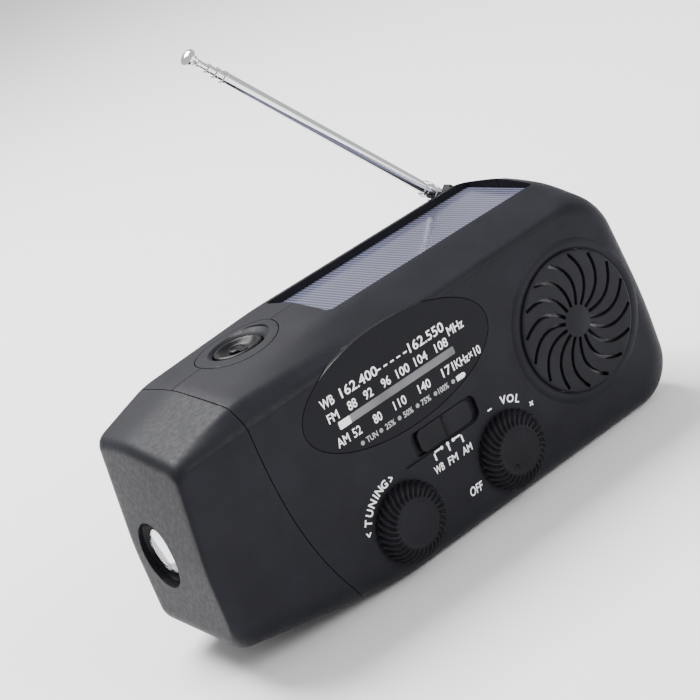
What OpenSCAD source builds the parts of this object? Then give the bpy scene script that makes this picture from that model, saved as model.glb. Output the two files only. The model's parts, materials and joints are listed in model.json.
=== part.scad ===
// Hand-crank emergency radio with torch, solar panel and telescopic aerial.
// X runs along the case (torch end at -X), Y from front (-Y) to back (+Y), Z up.
// The origin is on the base, under the middle of the case.

/* [Case] */
// Length of the case along X
case_len = 131; // [115:1:160]
// Depth of the case from front plane to back plane
case_depth = 45; // [42:1:56]
// Height of the case
case_height = 60; // [56:1:72]
// Thickness of the moulded walls
wall = 2; // [1.6:0.1:2.6]
// Drop from the top to the crease between the front plane and the sloped roof
crease_drop = 4; // [2:0.1:8]
// Seam of the torch end cap, measured from the torch end
cap_len = 20.5; // [16:0.5:26]

/* [Front] */
// Half length of the oval dial window
dial_half_len = 26.5; // [20:0.5:28]
// Half height of the oval dial window
dial_half_height = 12.1; // [10:0.1:13]
// Outer radius of the bevelled ring round the speaker
speaker_r = 18.6; // [15:0.2:20]
// Radius of the raised speaker disc
grille_r = 16.3; // [12:0.1:18]
// Number of swirl slots in the speaker disc
slot_count = 16; // [8:1:20]
// Width of a swirl slot
slot_width = 0.6; // [0.4:0.05:0.9]
// Radius of a knob at its base
knob_r = 9.3; // [6:0.1:10]
// Radius of a knob's flat top
knob_top_r = 5.2; // [3:0.1:6]
// Height of a knob above the front plane
knob_height = 3.3; // [2:0.1:6]
// Length of the band switch recess
switch_len = 19.2; // [14:0.2:22]
// Height of the band switch recess
switch_height = 5.9; // [4:0.1:7]
// Travel of the band slider to each side of its middle place
switch_travel = 1.8; // [1:0.1:3]

/* [Top] */
// Length of the solar recess
solar_len = 63; // [50:0.5:68]
// Width of the solar recess
solar_width = 25.4; // [18:0.2:27]
// Depth of the solar recess below the top
solar_depth = 4.3; // [3:0.1:5]
// Outer radius of the ring round the torch button
ring_r = 10; // [8:0.1:12]
// Radius of the torch button
button_r = 5.8; // [4:0.1:7]

/* [Torch] */
// Radius of the torch opening in the end cap
torch_r = 7.7; // [5:0.1:9]

/* [Crank] */
// Radius of the round dish that the crank turns in
dish_r = 22.4; // [20:0.2:23]
// Depth of the dish
dish_depth = 7; // [6:0.2:8]
// Distance from the crank shaft to the end of the crank arm
crank_reach = 21.4; // [18:0.2:22]
// Radius of the crank shaft
shaft_r = 2; // [1.5:0.1:2.5]
// Tooth size (module) of the gears
gear_module = 0.5; // [0.4:0.05:0.6]

/* [Aerial] */
// Elevation of the aerial above the stowed direction when raised at rest
aerial_raise = 50; // [30:1:80]
// Outer radius of the thickest aerial tube
aerial_r = 1.5; // [1.2:0.05:1.8]
// Distance from the axis that the aerial swings on to its tilt pin
pivot_lift = 5; // [4.5:0.1:7]
// Length of the collapsed aerial from its tilt pin to its tip
aerial_len = 81; // [60:1:95]
// Wall of each aerial tube
tube_wall = 0.2; // [0.15:0.01:0.25]

/* [Fits] */
// Radial clearance of shafts and pins that turn
fit = 0.05; // [0.02:0.01:0.1]
// Gap between pieces that move past each other
gap = 0.3; // [0.2:0.05:0.5]
// Gap along the seams of the case
seam = 0.12; // [0.05:0.01:0.2]

/* [Hidden] */
$fn = 48;
eps = 0.01;
big = 400;

x_end = case_len/2;
y_front = -case_depth/2;
y_back = case_depth/2;
z_top = case_height;
black = [0.09, 0.09, 0.10];

// Parting plane between the front and the rear case
part_y = 3.6;
// How far the top has fallen at the cap seam
top_fall = 1.9;
// Top corner of the torch end, and bottom corner of the same end
cap_top = z_top - 6;
cap_bottom = 8.4;
cap_x = -x_end + cap_len;

// Places on the front plane
speaker_x = x_end - 23.6;
speaker_z = case_height/2 - 0.3;
tuning_x = -18.1;
volume_x = 12.9;
knob_z = 12.8;
dial_x = -7.05;
crease_height = case_height - crease_drop;
dial_z = crease_height - dial_half_height - 0.8;
scale_z = dial_z - 2.6;
switch_x = -0.9;
switch_z = dial_z - dial_half_height - 1.4 - switch_height/2;
pointer_start = -24.6;
pointer_travel = 31.4;
pointer_len = 3.2;
led_start = -14.65;
led_pitch = 5.32;

// Swirl slots: an arc from the hub to the rim, swept and bulged
slot_in = 3.7;
slot_out = grille_r - 0.8;
slot_sweep = 25;
slot_bulge = 3;

// Places on the top
solar_x = x_end - 43.4;
solar_y = 3.3;
button_x = cap_x + 18.6;
button_y = part_y;
button_z = z_top - 0.9;
solar_floor = z_top - solar_depth;

// Torch
torch_y = 2;
torch_z = 28.3;

// Crank and gears
dish_z = 25.6;
crank_x = 0;
dish_floor = y_back - dish_depth;
inner_back = dish_floor - wall;
crank_teeth = 34;
pinion_teeth = 8;
step_teeth = 30;
crank_gear_r = gear_module*crank_teeth/2;
pinion_r = gear_module*pinion_teeth/2;
step_gear_r = gear_module*step_teeth/2;
step_angle = 162;
step_x = crank_x + (crank_gear_r + pinion_r)*cos(step_angle);
step_z = dish_z + (crank_gear_r + pinion_r)*sin(step_angle);
dynamo_x = step_x + (step_gear_r + pinion_r)*cos(step_angle);
dynamo_z = step_z + (step_gear_r + pinion_r)*sin(step_angle);
gear_y = inner_back - 2.3;
step_y = gear_y - 1.9;
plate_y = step_y - 1.3;
dynamo_r = 9.6;
dynamo_len = 13;

// Crank arm and its folding handle
arm_thick = 5.2;
arm_width = 11;
arm_y = dish_floor + gap;
handle_r = 2.5;
handle_len = 14.6;
handle_y = arm_y + arm_thick/2;
fold_x = crank_x - crank_reach + 3.2;
fold_pin_r = 0.9;

// Boards and inner planes
inner_front = y_front + wall;
board_y = y_front + 9;
board_thick = 1.6;
board_back = board_y + board_thick;
plate_front = inner_front + 0.1;
speaker_y = inner_front + 0.1;
rack_y = plate_front + 1.1;
rack_thick = 1.2;
knob_shaft_r = 3;
tuning_gear_r = 6;
idler_r = 7.6;
idler_angle = 82;
idler_x = tuning_x + (tuning_gear_r + idler_r)*cos(idler_angle);
idler_z = knob_z + (tuning_gear_r + idler_r)*sin(idler_angle);

// Ferrite rod aerial, under the solar recess
ferrite_z = solar_floor - wall - 3.6;

// Case screws and their bosses
screws = [[cap_x + 15.5, 7], [x_end - 14.9, 8], [cap_x + 7, z_top - 16], [x_end - 7, z_top - 15.5]];
boss_r = 2.8;

// Flange of the speaker basket
basket_r = min(18.4, x_end - wall - 3.2 - speaker_x);

// Battery
cell_r = 9.1;
cell_len = 65;
cell_x = max(11.9, screws[0][0] + boss_r + gap + cell_len/2 + 2.5);
cell_y = inner_back - cell_r - 1.2;
cell_z = wall + cell_r + 0.4;

// Aerial
swing_x = x_end - 12.6;
swing_z = z_top - 8.33;
pivot_y = y_back - 1.9;
groove_y = y_back - 4.2;
groove_z = swing_z - 2.6;
pocket_r = 4.7;
clip_r = 3.1;
neck_r = 1.5;
tongue = 3.6;
aerial_pin_r = 0.7;
socket_r = 2.2;
tube_step = aerial_len/40;

// Ports in the speaker end
port_y = 12.5;
port_z = 22;
port_gap = 11;
hinge_x = x_end - 1.1;
hinge_y = port_y + 4.3;

// Screw places, as x and z
screw_r = 1.3;

// ---------- helpers ----------
function unit(v) = v/norm(v);

// Arc points that round the corner b of the path a-b-c with radius r
function corner(a, b, c, r, n) =
    let (u = unit(a - b), v = unit(c - b), half = acos(u*v)/2)
    let (t = min(r/tan(half), norm(a - b)*0.49, norm(c - b)*0.49), rr = t*tan(half))
    let (m = b + unit(u + v)*rr/sin(half), s = b + u*t - m, e = b + v*t - m)
    let (w = acos(min(1, (s*e)/(norm(s)*norm(e)))))
    [for (i = [0:n]) m + s*sin((1 - i/n)*w)/sin(w) + e*sin(i/n*w)/sin(w)];

// A closed outline from [x, y, r] corners
function rounded(pts, n = 6) =
    let (k = len(pts), p = [for (q = pts) [q[0], q[1]]])
    [for (i = [0:k - 1]) each corner(p[(i + k - 1) % k], p[i], p[(i + 1) % k], pts[i][2], n)];

// A cylinder that runs along +Y from y0 to y1
module rod_y(x, z, r, y0, y1) {
    translate([x, y0, z]) rotate([-90, 0, 0]) cylinder(r = r, h = y1 - y0);
}

// A flat shape drawn in X and Z, standing from y0 to y1
module slab_y(y0, y1) {
    translate([0, y1, 0]) rotate([90, 0, 0]) linear_extrude(y1 - y0) children();
}

module box(a, b) {
    translate(a) cube([b[0] - a[0], b[1] - a[1], b[2] - a[2]]);
}

// A spur gear outline with narrow trapezoid teeth and generous backlash
module gear_outline(teeth, turn) {
    r = gear_module*teeth/2;
    step = 360/teeth;
    tip = r + gear_module*0.75;
    root = r - gear_module*1.0;
    polygon([for (i = [0:teeth - 1], q = [[root, -0.27], [tip, -0.11], [tip, 0.11], [root, 0.27]])
        q[0]*[cos(turn + step*(i + q[1])), sin(turn + step*(i + q[1]))]]);
}

module gear_y(x, z, teeth, y0, thick, bore, turn) {
    translate([x, y0 + thick, z]) rotate([90, 0, 0]) linear_extrude(thick) difference() {
        gear_outline(teeth, turn);
        circle(r = bore);
    }
}

// ---------- case ----------
// Outline seen from the front
module front_outline() {
    polygon(rounded([
        [-x_end - 0.2, cap_bottom, 5], [cap_x + 22, 0, 60], [x_end, 0, 10],
        [x_end, 24, 120], [x_end - 3.8, z_top, 13], [cap_x + 33, z_top, 150],
        [cap_x + 1, z_top - top_fall, 25], [-x_end + 2.8, cap_top, 3], [-x_end, 28, 60]]));
}

// Outline seen from the torch end
module side_outline() {
    polygon(rounded([
        [y_front, 0, 6], [y_back, 0, 6], [y_back, z_top - 1.6, 5.5],
        [part_y, z_top + 0.3, 60], [y_front + 12, z_top - 1, 12],
        [y_front, crease_height, 1]]));
}

// Outline seen from above
module plan_outline() {
    polygon(rounded([
        [-x_end, y_front + 2, 1.5], [cap_x, y_front, 40], [x_end, y_front, 6],
        [x_end, y_back, 7], [cap_x, y_back, 20], [-x_end + 2, y_back - 4, 9]]));
}

// The whole case as one solid, drawn in by inset
module case_solid(inset) {
    intersection() {
        slab_y(-big/4, big/4) offset(delta = -inset) front_outline();
        translate([-big/4, 0, 0]) rotate([90, 0, 90]) linear_extrude(big/2)
            offset(delta = -inset) side_outline();
        translate([0, 0, -big/4]) linear_extrude(big/2) offset(delta = -inset) plan_outline();
    }
}

// Everything on the torch side of the cap seam, which swings toward the base
module cap_side(shift) {
    slab_y(-big/4, big/4) polygon(concat(
        [[-big/4, big/4], [cap_x + shift, big/4], [cap_x + shift, crease_height]],
        [for (i = [1:10]) let (f = i/10)
            [cap_x + shift + 13*f*f*f, crease_height*(1 - f) - 1*f]],
        [[cap_x + shift + 13, -big/4], [-big/4, -big/4]]));
}

// The round crank dish and the aerial groove, grown by extra
module dish_space(extra) {
    rod_y(crank_x, dish_z, dish_r + extra, dish_floor - extra, y_back + big/8);
}

module groove_space(extra) {
    box([swing_x - pivot_lift - aerial_len - 3 - extra, groove_y - extra, groove_z - extra],
        [swing_x + pocket_r + 0.9 + extra, y_back + big/8, z_top + big/8]);
    box([swing_x - pivot_lift - 2.4 - extra, groove_y - extra, swing_z - 4 - extra],
        [swing_x, y_back + big/8, swing_z]);
    rod_y(swing_x, swing_z, pocket_r + extra, groove_y - extra, y_back + big/8);
}

module solar_space(extra) {
    box([solar_x - solar_len/2 - extra, solar_y - solar_width/2 - extra, solar_floor - extra],
        [solar_x + solar_len/2 + extra, solar_y + solar_width/2 + extra, z_top + big/8]);
}

// Walls of the case with all recesses lined
module case_walls() {
    difference() {
        case_solid(0);
        difference() {
            case_solid(wall);
            dish_space(wall);
            groove_space(wall);
            solar_space(wall);
            translate([button_x, button_y, button_z - 2 - wall]) cylinder(r = ring_r + wall, h = big/4);
        }
    }
}

module screw_bosses(y0, y1) {
    for (s = screws) rod_y(s[0], s[1], boss_r, y0, y1);
}

module screw_holes(r, y0, y1) {
    for (s = screws) rod_y(s[0], s[1], r, y0, y1);
}

// The openings that both halves share
module top_openings() {
    solar_space(0);
    groove_space(0);
    translate([button_x, button_y, button_z - 2]) cylinder(r = ring_r + seam, h = 10);
    translate([button_x, button_y, button_z - 20]) cylinder(r = button_r + 1, h = 30);
}

module dial_oval(grow) {
    translate([dial_x, dial_z]) scale([1, (dial_half_height + grow)/(dial_half_len + grow)])
        circle(r = dial_half_len + grow);
}

module front_case() {
    color(black) difference() {
        union() {
            intersection() {
                case_walls();
                box([-big/2, -big/2, -big/2], [big/2, part_y - seam/2, big/2]);
            }
            rod_y(speaker_x, speaker_z, speaker_r, y_front - 0.35, y_front + wall);
            intersection() {
                screw_bosses(board_back + 6, part_y - seam/2);
                case_solid(wall/2);
            }
            intersection() {
                screw_bosses(y_front + 1, board_back + 7);
                case_solid(wall/2);
            }
        }
        cap_side(seam/2);
        top_openings();
        rod_y(speaker_x, speaker_z, grille_r + seam, y_front - 5, y_front + 5);
        slab_y(y_front - 1, y_front + 1.2) dial_oval(seam);
        slab_y(y_front - 1, y_front + 5) dial_oval(-1.6);
        rod_y(tuning_x, knob_z, knob_shaft_r + gap/2, y_front - 5, y_front + 5);
        rod_y(volume_x, knob_z, knob_shaft_r + gap/2, y_front - 5, y_front + 5);
        box([switch_x - switch_len/2, y_front - 1, switch_z - switch_height/2],
            [switch_x + switch_len/2, y_front + 1.3, switch_z + switch_height/2]);
        box([switch_x - 2 - switch_travel, y_front - 1, switch_z - 1.2],
            [switch_x + 2 + switch_travel, y_front + 5, switch_z + 1.2]);
        screw_holes(screw_r - 0.15, part_y - 12, part_y + 2);
        box([x_end - wall - 3, port_y - 7.4, port_z - port_gap - 5],
            [x_end + 5, port_y + 20, port_z + 7]);
    }
}

module rear_case() {
    color(black) difference() {
        union() {
            intersection() {
                case_walls();
                box([-big/2, part_y + seam/2, -big/2], [big/2, big/2, big/2]);
            }
            intersection() {
                screw_bosses(part_y + seam/2, y_back);
                case_solid(wall/2);
            }
            rod_y(crank_x, dish_z, shaft_r + 1.6, gear_y + 2.1, dish_floor - wall/2);
            rod_y(step_x, step_z, 1.6, gear_y + 2.1, dish_floor - wall/2);
        }
        cap_side(seam/2);
        top_openings();
        dish_space(0);
        rod_y(crank_x, dish_z, shaft_r + fit, gear_y, y_back + 1);
        rod_y(swing_x, swing_z, socket_r + fit, groove_y - wall - 1, y_back + 1);
        rod_y(swing_x, swing_z, clip_r + gap, groove_y - wall - 3, groove_y - wall);
        screw_holes(screw_r + 0.2, part_y - 1, y_back + 1);
        screw_holes(2.5, y_back - 6, y_back + 1);
        port_opening();
    }
}

module port_opening() {
    box([x_end - wall - 3, port_y - 7.4, port_z - port_gap - 5],
        [x_end + 5, port_y + 5.6, port_z + 7]);
}

module torch_cap() {
    color(black) difference() {
        union() {
            intersection() {
                case_walls();
                cap_side(-seam/2);
            }
            on_torch_axis() translate([0, 0, 1]) cylinder(r = torch_r + 1.4, h = 4.7);
        }
        translate([-x_end - 5, torch_y, torch_z]) rotate([0, 90, 0])
            cylinder(r = torch_r, h = 12);
    }
}

// ---------- front details ----------
module dial_window() {
    color([0.04, 0.04, 0.05]) slab_y(y_front, y_front + 1.2) dial_oval(0);
}

module dial_plate() {
    color([0.13, 0.13, 0.14]) difference() {
        intersection() {
            slab_y(plate_front, plate_front + 0.7) dial_oval(-0.4);
            box([-big/4, -big/4, 0], [big/4, big/4, crease_height - 1.9]);
        }
        box([pointer_start - 1.4, plate_front - 1, scale_z - 0.9],
            [pointer_start + pointer_travel + pointer_len, plate_front + 2, scale_z + 0.9]);
        rod_y(screws[2][0], screws[2][1], boss_r + gap, plate_front - 1, plate_front + 2);
    }
}

module dial_pointer() {
    rack_z = idler_z + idler_r + gap;
    color("white") union() {
        box([pointer_start - 0.4, plate_front + 0.1, scale_z - 0.8],
            [pointer_start - 0.4 + pointer_len, rack_y + eps, scale_z + 0.8]);
        box([pointer_start - 0.4, rack_y, rack_z + 1],
            [pointer_start + 1.6, rack_y + rack_thick, scale_z + 0.7]);
        box([idler_x - pointer_travel - 1, rack_y, rack_z],
            [idler_x + 1.5, rack_y + rack_thick, rack_z + 2]);
    }
}

module dial_idler() {
    color([0.8, 0.8, 0.78]) rod_y(idler_x, idler_z, idler_r, rack_y, rack_y + rack_thick);
    color([0.8, 0.8, 0.78]) rod_y(idler_x, idler_z, 1, rack_y + rack_thick - eps, board_y);
}

// A knob with a tapered flank, its stem reaching back through the case
module knob(x, stem_end) {
    translate([x, y_front, knob_z]) rotate([90, 0, 0]) difference() {
        rotate_extrude() polygon([[0, 0.15], [knob_r, 0.15], [knob_r, 0.7],
            [knob_top_r + 1.4, knob_height], [0, knob_height]]);
        for (i = [0:15]) rotate([0, 0, i*22.5]) translate([knob_r + 0.6, 0, -1])
            cylinder(r = 1, h = knob_height + 2);
    }
    rod_y(x, knob_z, knob_shaft_r, y_front - 0.2, stem_end);
}

module tuning_knob() {
    color(black) knob(tuning_x, board_y - 0.3);
    color(black) rod_y(tuning_x, knob_z, tuning_gear_r - gap, rack_y, rack_y + rack_thick);
    color("silver") rod_y(tuning_x, knob_z, 1.5, board_y - 1, board_back + 3);
}

module tuning_capacitor() {
    color([0.75, 0.76, 0.78]) difference() {
        box([max(tuning_x - 7, screws[0][0] + boss_r + gap), board_back, knob_z - 7],
            [tuning_x + 7, min(board_back + 5.7, cell_y - cell_r - gap), knob_z + 7]);
        rod_y(tuning_x, knob_z, 1.5 + fit, board_back - 1, board_back + 3.2);
    }
}

module volume_knob() {
    color(black) knob(volume_x, board_y - 0.3);
    color("silver") rod_y(volume_x, knob_z, 1.5, board_y - 1, board_back + 3);
}

module volume_control() {
    color([0.2, 0.25, 0.3]) difference() {
        rod_y(volume_x, knob_z, 6, board_back, board_back + 5.5);
        rod_y(volume_x, knob_z, 1.5 + fit, board_back - 1, board_back + 3.2);
    }
}

module band_slider() {
    slider_half = switch_len/2 - switch_travel - gap;
    color(black) {
        box([switch_x - slider_half, y_front + 0.1, switch_z - switch_height/2 + 0.2],
            [switch_x + slider_half, y_front + 1.1, switch_z + switch_height/2 - 0.2]);
        box([switch_x - 0.4, y_front - 0.5, switch_z - switch_height/2 + 0.6],
            [switch_x + 0.4, y_front + 0.2, switch_z + switch_height/2 - 0.6]);
        box([switch_x - 1.7, y_front + 1, switch_z - 0.9], [switch_x + 1.7, board_y - 5, switch_z + 0.9]);
    }
}

module band_switch() {
    color([0.7, 0.7, 0.72]) difference() {
        box([switch_x - 7, board_y - 5.6, switch_z - 2.4], [switch_x + 7, board_y, switch_z + 2.4]);
        box([switch_x - 2 - switch_travel, board_y - 6, switch_z - 1.2],
            [switch_x + 2 + switch_travel, board_y - 4.6, switch_z + 1.2]);
    }
}

// One swirl slot, drawn with its inner end on the X axis
module slot_outline() {
    a = [slot_in, 0];
    b = slot_out*[cos(slot_sweep), sin(slot_sweep)];
    chord = norm(b - a);
    r = (chord*chord/4 + slot_bulge*slot_bulge)/(2*slot_bulge);
    lean = atan2(b[1] - a[1], b[0] - a[0]);
    translate(a) rotate(lean) intersection() {
        difference() {
            translate([chord/2, r - slot_bulge]) circle(r = r + slot_width/2);
            translate([chord/2, r - slot_bulge]) circle(r = r - slot_width/2);
        }
        translate([-1, -r]) square([chord + 2, r]);
    }
}

module speaker_grille() {
    color(black) difference() {
        rod_y(speaker_x, speaker_z, grille_r, y_front - 0.9, y_front + 0.9);
        for (i = [0:slot_count - 1])
            translate([speaker_x, 0, speaker_z]) rotate([0, i*360/slot_count, 0])
                slab_y(y_front - 3, y_front + 3) slot_outline();
    }
}

module grille_cloth() {
    color([0.15, 0.15, 0.16]) rod_y(speaker_x, speaker_z, grille_r - 0.5, y_front + 0.95, y_front + 1.25);
}

module speaker_basket() {
    color([0.55, 0.56, 0.58]) translate([speaker_x, speaker_y, speaker_z]) rotate([-90, 0, 0])
        difference() {
            rotate_extrude() polygon([[15.6, 0], [basket_r, 0], [basket_r, 1], [17, 1.2],
                [10.5, 7.4], [10.5, 8.4],
                [4, 8.4], [4, 7.2], [9.6, 7.2], [15.6, 1]]);
            for (i = [0:5]) rotate([0, 0, i*60]) translate([13.4, 0, 1.6]) cylinder(r = 1.6, h = 8);
        }
}

module speaker_cone() {
    color([0.12, 0.12, 0.12]) translate([speaker_x, speaker_y, speaker_z]) rotate([-90, 0, 0])
        rotate_extrude() polygon([[0, 4.4], [3.4, 4.6], [14.4, 0.9], [15.4, 0.5], [15.4, 0.9],
            [14.4, 1.3], [3.6, 5.2], [3.6, 8], [3.2, 8], [3.2, 5.2], [0, 4.9]]);
}

module speaker_magnet() {
    color([0.25, 0.25, 0.27]) rod_y(speaker_x, speaker_z, 9, speaker_y + 8.4, speaker_y + 13.4);
}

// ---------- electronics ----------
module main_board() {
    color([0.05, 0.35, 0.16]) difference() {
        box([cap_x + 11.6, board_y, 4], [speaker_x - 20, board_back, z_top - 6]);
        rod_y(tuning_x, knob_z, 1.8, board_y - 1, board_back + 1);
        rod_y(volume_x, knob_z, 1.8, board_y - 1, board_back + 1);
        box([-big/4, board_y - 1, 0],
            [screws[0][0] + boss_r + gap, board_back + 1, screws[0][1] + boss_r + gap]);
    }
}

module status_leds() {
    for (i = [0:5]) color([0.6, 0.75, 0.6])
        box([dial_x + led_start + led_pitch*i, plate_front + 0.7, dial_z - 9.3],
            [dial_x + led_start + led_pitch*i + 1.2, plate_front + 1, dial_z - 8.3]);
}

module ferrite_rod() {
    color([0.2, 0.2, 0.22]) rotate_x_rod(-18, 40, board_back + 3.2, ferrite_z, 2.5);
}

module rotate_x_rod(x0, x1, y, z, r) {
    translate([x0, y, z]) rotate([0, 90, 0]) cylinder(r = r, h = x1 - x0);
}

module ferrite_coil() {
    color([0.75, 0.4, 0.2]) difference() {
        rotate_x_rod(2, 18, board_back + 3.2, ferrite_z, 3.2);
        rotate_x_rod(1, 19, board_back + 3.2, ferrite_z, 2.5);
    }
}

module battery_cell() {
    color([0.1, 0.4, 0.65]) rotate_x_rod(cell_x - cell_len/2, cell_x + cell_len/2, cell_y, cell_z, cell_r);
    color("silver") rotate_x_rod(cell_x + cell_len/2 - eps, cell_x + cell_len/2 + 0.9, cell_y, cell_z, 3);
}

module battery_holder() {
    color([0.2, 0.2, 0.2]) for (s = [-1, 1]) difference() {
        box([cell_x + s*(cell_len/2 + 1.7) - 0.8, cell_y - cell_r + 1, wall + 1],
            [cell_x + s*(cell_len/2 + 1.7) + 0.8, cell_y + cell_r - 1, cell_z + 5]);
        rotate_x_rod(cell_x + cell_len/2 - 1, cell_x + cell_len/2 + 3, cell_y, cell_z, 3.2);
    }
}

// ---------- dynamo and crank ----------
module dynamo() {
    color([0.7, 0.7, 0.72]) difference() {
        rod_y(dynamo_x, dynamo_z, dynamo_r, plate_y - dynamo_len, plate_y);
        rod_y(dynamo_x, dynamo_z, 1 + fit, plate_y - 8, plate_y + 1);
    }
}

module dynamo_pinion() {
    color("gold") gear_y(dynamo_x, dynamo_z, pinion_teeth, step_y - 0.1, 1.8, 0.5, step_angle + 180);
    color("silver") rod_y(dynamo_x, dynamo_z, 1, plate_y - 7.6, step_y);
    color("silver") rod_y(dynamo_x, dynamo_z, 0.5, step_y - eps, step_y + 1.8);
}

module gear_plate() {
    color([0.75, 0.76, 0.78]) difference() {
        box([dynamo_x - 8, plate_y, dish_z - 5.2], [crank_x + 6, plate_y + 1, dynamo_z + 8]);
        rod_y(dynamo_x, dynamo_z, 1.4, plate_y - 1, plate_y + 2);
        rod_y(step_x, step_z, 1 + fit, plate_y - 1, plate_y + 2);
        rod_y(crank_x, dish_z, shaft_r + fit, plate_y - 1, plate_y + 2);
    }
}

module step_gear() {
    turn = step_angle + 180*(1 + 1/pinion_teeth);
    color([0.85, 0.84, 0.78])
        gear_y(step_x, step_z, step_teeth, step_y, 1.5, 0.9, step_angle + 180/step_teeth);
    color([0.85, 0.84, 0.78]) gear_y(step_x, step_z, pinion_teeth, step_y + 1.5 - eps, 2.3, 0.9, turn);
    color("silver") rod_y(step_x, step_z, 1, plate_y, gear_y + 2);
}

module crank_gear() {
    color([0.85, 0.84, 0.78])
        gear_y(crank_x, dish_z, crank_teeth, gear_y, 1.9, shaft_r - eps, step_angle);
}

module crank_shaft() {
    color("silver") rod_y(crank_x, dish_z, shaft_r, plate_y + 0.05, arm_y + 3);
}

module crank_arm() {
    color(black) difference() {
        union() {
            rod_y(crank_x, dish_z, 7, arm_y, arm_y + arm_thick);
            slab_y(arm_y, arm_y + arm_thick) translate([0, dish_z]) polygon(rounded([
                [crank_x - crank_reach, -arm_width/2, 3], [crank_x, -arm_width/2, 0.1],
                [crank_x, arm_width/2, 0.1], [crank_x - crank_reach, arm_width/2, 3]]));
        }
        rod_y(crank_x, dish_z, shaft_r, arm_y - 1, arm_y + 3);
        box([fold_x - handle_r - gap - 0.6, arm_y - 1, dish_z - handle_r - gap],
            [fold_x + handle_len + gap, arm_y + arm_thick + 1, dish_z + handle_r + gap]);
        translate([fold_x, handle_y, dish_z - 10]) cylinder(r = fold_pin_r, h = 20);
    }
}

module crank_pin() {
    color("silver") translate([fold_x, handle_y, dish_z - 4.6]) cylinder(r = fold_pin_r, h = 9.2);
}

module crank_spindle() {
    color("silver") difference() {
        union() {
            translate([fold_x, handle_y, dish_z - handle_r + 0.1]) cylinder(r = 2.1, h = 2*handle_r - 0.2);
            rotate_x_rod(fold_x, fold_x + handle_len - 0.8, handle_y, dish_z, 1);
        }
        translate([fold_x, handle_y, dish_z - 10]) cylinder(r = fold_pin_r + fit, h = 20);
    }
}

module crank_handle() {
    color(black) difference() {
        rotate_x_rod(fold_x + 2.6, fold_x + handle_len - 0.2, handle_y, dish_z, handle_r);
        rotate_x_rod(fold_x + 2, fold_x + handle_len - 0.7, handle_y, dish_z, 1 + fit);
    }
}

// ---------- top ----------
module solar_panel() {
    color([0.12, 0.14, 0.3]) box(
        [solar_x - solar_len/2 + 0.3, solar_y - solar_width/2 + 0.3, solar_floor],
        [solar_x + solar_len/2 - 0.3, solar_y + solar_width/2 - 0.3, solar_floor + 1]);
}

module solar_cover() {
    color([0.5, 0.5, 0.6]) box(
        [solar_x - solar_len/2 + 0.15, solar_y - solar_width/2 + 0.15, solar_floor + 1],
        [solar_x + solar_len/2 - 0.15, solar_y + solar_width/2 - 0.15, solar_floor + 1.6]);
}

module button_ring() {
    color(black) translate([button_x, button_y, button_z - 2]) difference() {
        cylinder(r = ring_r, h = 2);
        translate([0, 0, -1]) cylinder(r = button_r + gap/2, h = 10);
    }
}

module torch_button() {
    color(black) translate([button_x, button_y, button_z - 4.9]) {
        cylinder(r = button_r, h = 4.6);
        translate([0, 0, -1.2]) cylinder(r = 2, h = 1.3);
    }
}

module torch_switch() {
    color([0.3, 0.3, 0.3]) {
        translate([button_x, button_y, button_z - 9.3]) cylinder(r = 1.6, h = 2.1);
        box([button_x - 3, button_y - 3, button_z - 11.3], [button_x + 3, button_y + 3, button_z - 9.2]);
    }
    color([0.05, 0.35, 0.16])
        box([button_x - 9, button_y - 6, button_z - 12.7], [button_x + 9, button_y + 6, button_z - 11.3]);
}

// ---------- torch ----------
module on_torch_axis() {
    translate([-x_end, torch_y, torch_z]) rotate([0, 90, 0]) children();
}

module torch_lens() {
    color([0.85, 0.9, 0.95]) on_torch_axis() translate([0, 0, 4.6]) cylinder(r = torch_r - 1, h = 1.2);
}

module lens_ring() {
    color(black) on_torch_axis() difference() {
        union() {
            translate([0, 0, 3.6]) cylinder(r = torch_r - 0.1, h = 2.2);
            translate([0, 0, 5.8 - eps]) cylinder(r = torch_r + 1, h = 1.2);
        }
        translate([0, 0, 3]) cylinder(r = torch_r - 1.6, h = 6);
        translate([0, 0, 4.6]) cylinder(r = torch_r - 1, h = 6);
    }
}

module torch_reflector() {
    color([0.85, 0.85, 0.87]) on_torch_axis() rotate_extrude() polygon([
        [2.4, 17], [3.2, 13], [4.8, 8.8], [torch_r - 1.7, 5.8], [torch_r - 1.1, 5.8],
        [torch_r - 1.1, 7.1], [5.4, 9.6], [3.8, 13.4], [3, 17]]);
}

module torch_led() {
    color([0.95, 0.95, 0.8]) on_torch_axis() translate([0, 0, 12.6]) {
        cylinder(r = 1.6, h = 4.4);
        sphere(r = 1.6);
    }
}

module led_board() {
    color([0.9, 0.9, 0.9]) on_torch_axis() translate([0, 0, 17]) cylinder(r = 6, h = 1.2);
}

// ---------- aerial ----------
// Local frame of the swivel: origin on the axis it swings on, +Z along the aerial
module on_swivel() {
    translate([swing_x, pivot_y, swing_z]) rotate([0, aerial_raise - 90, 0]) children();
}

// Local frame of the mast: origin on the tilt pin, +Z along the aerial
module on_aerial() {
    on_swivel() translate([0, 0, pivot_lift]) children();
}

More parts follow.
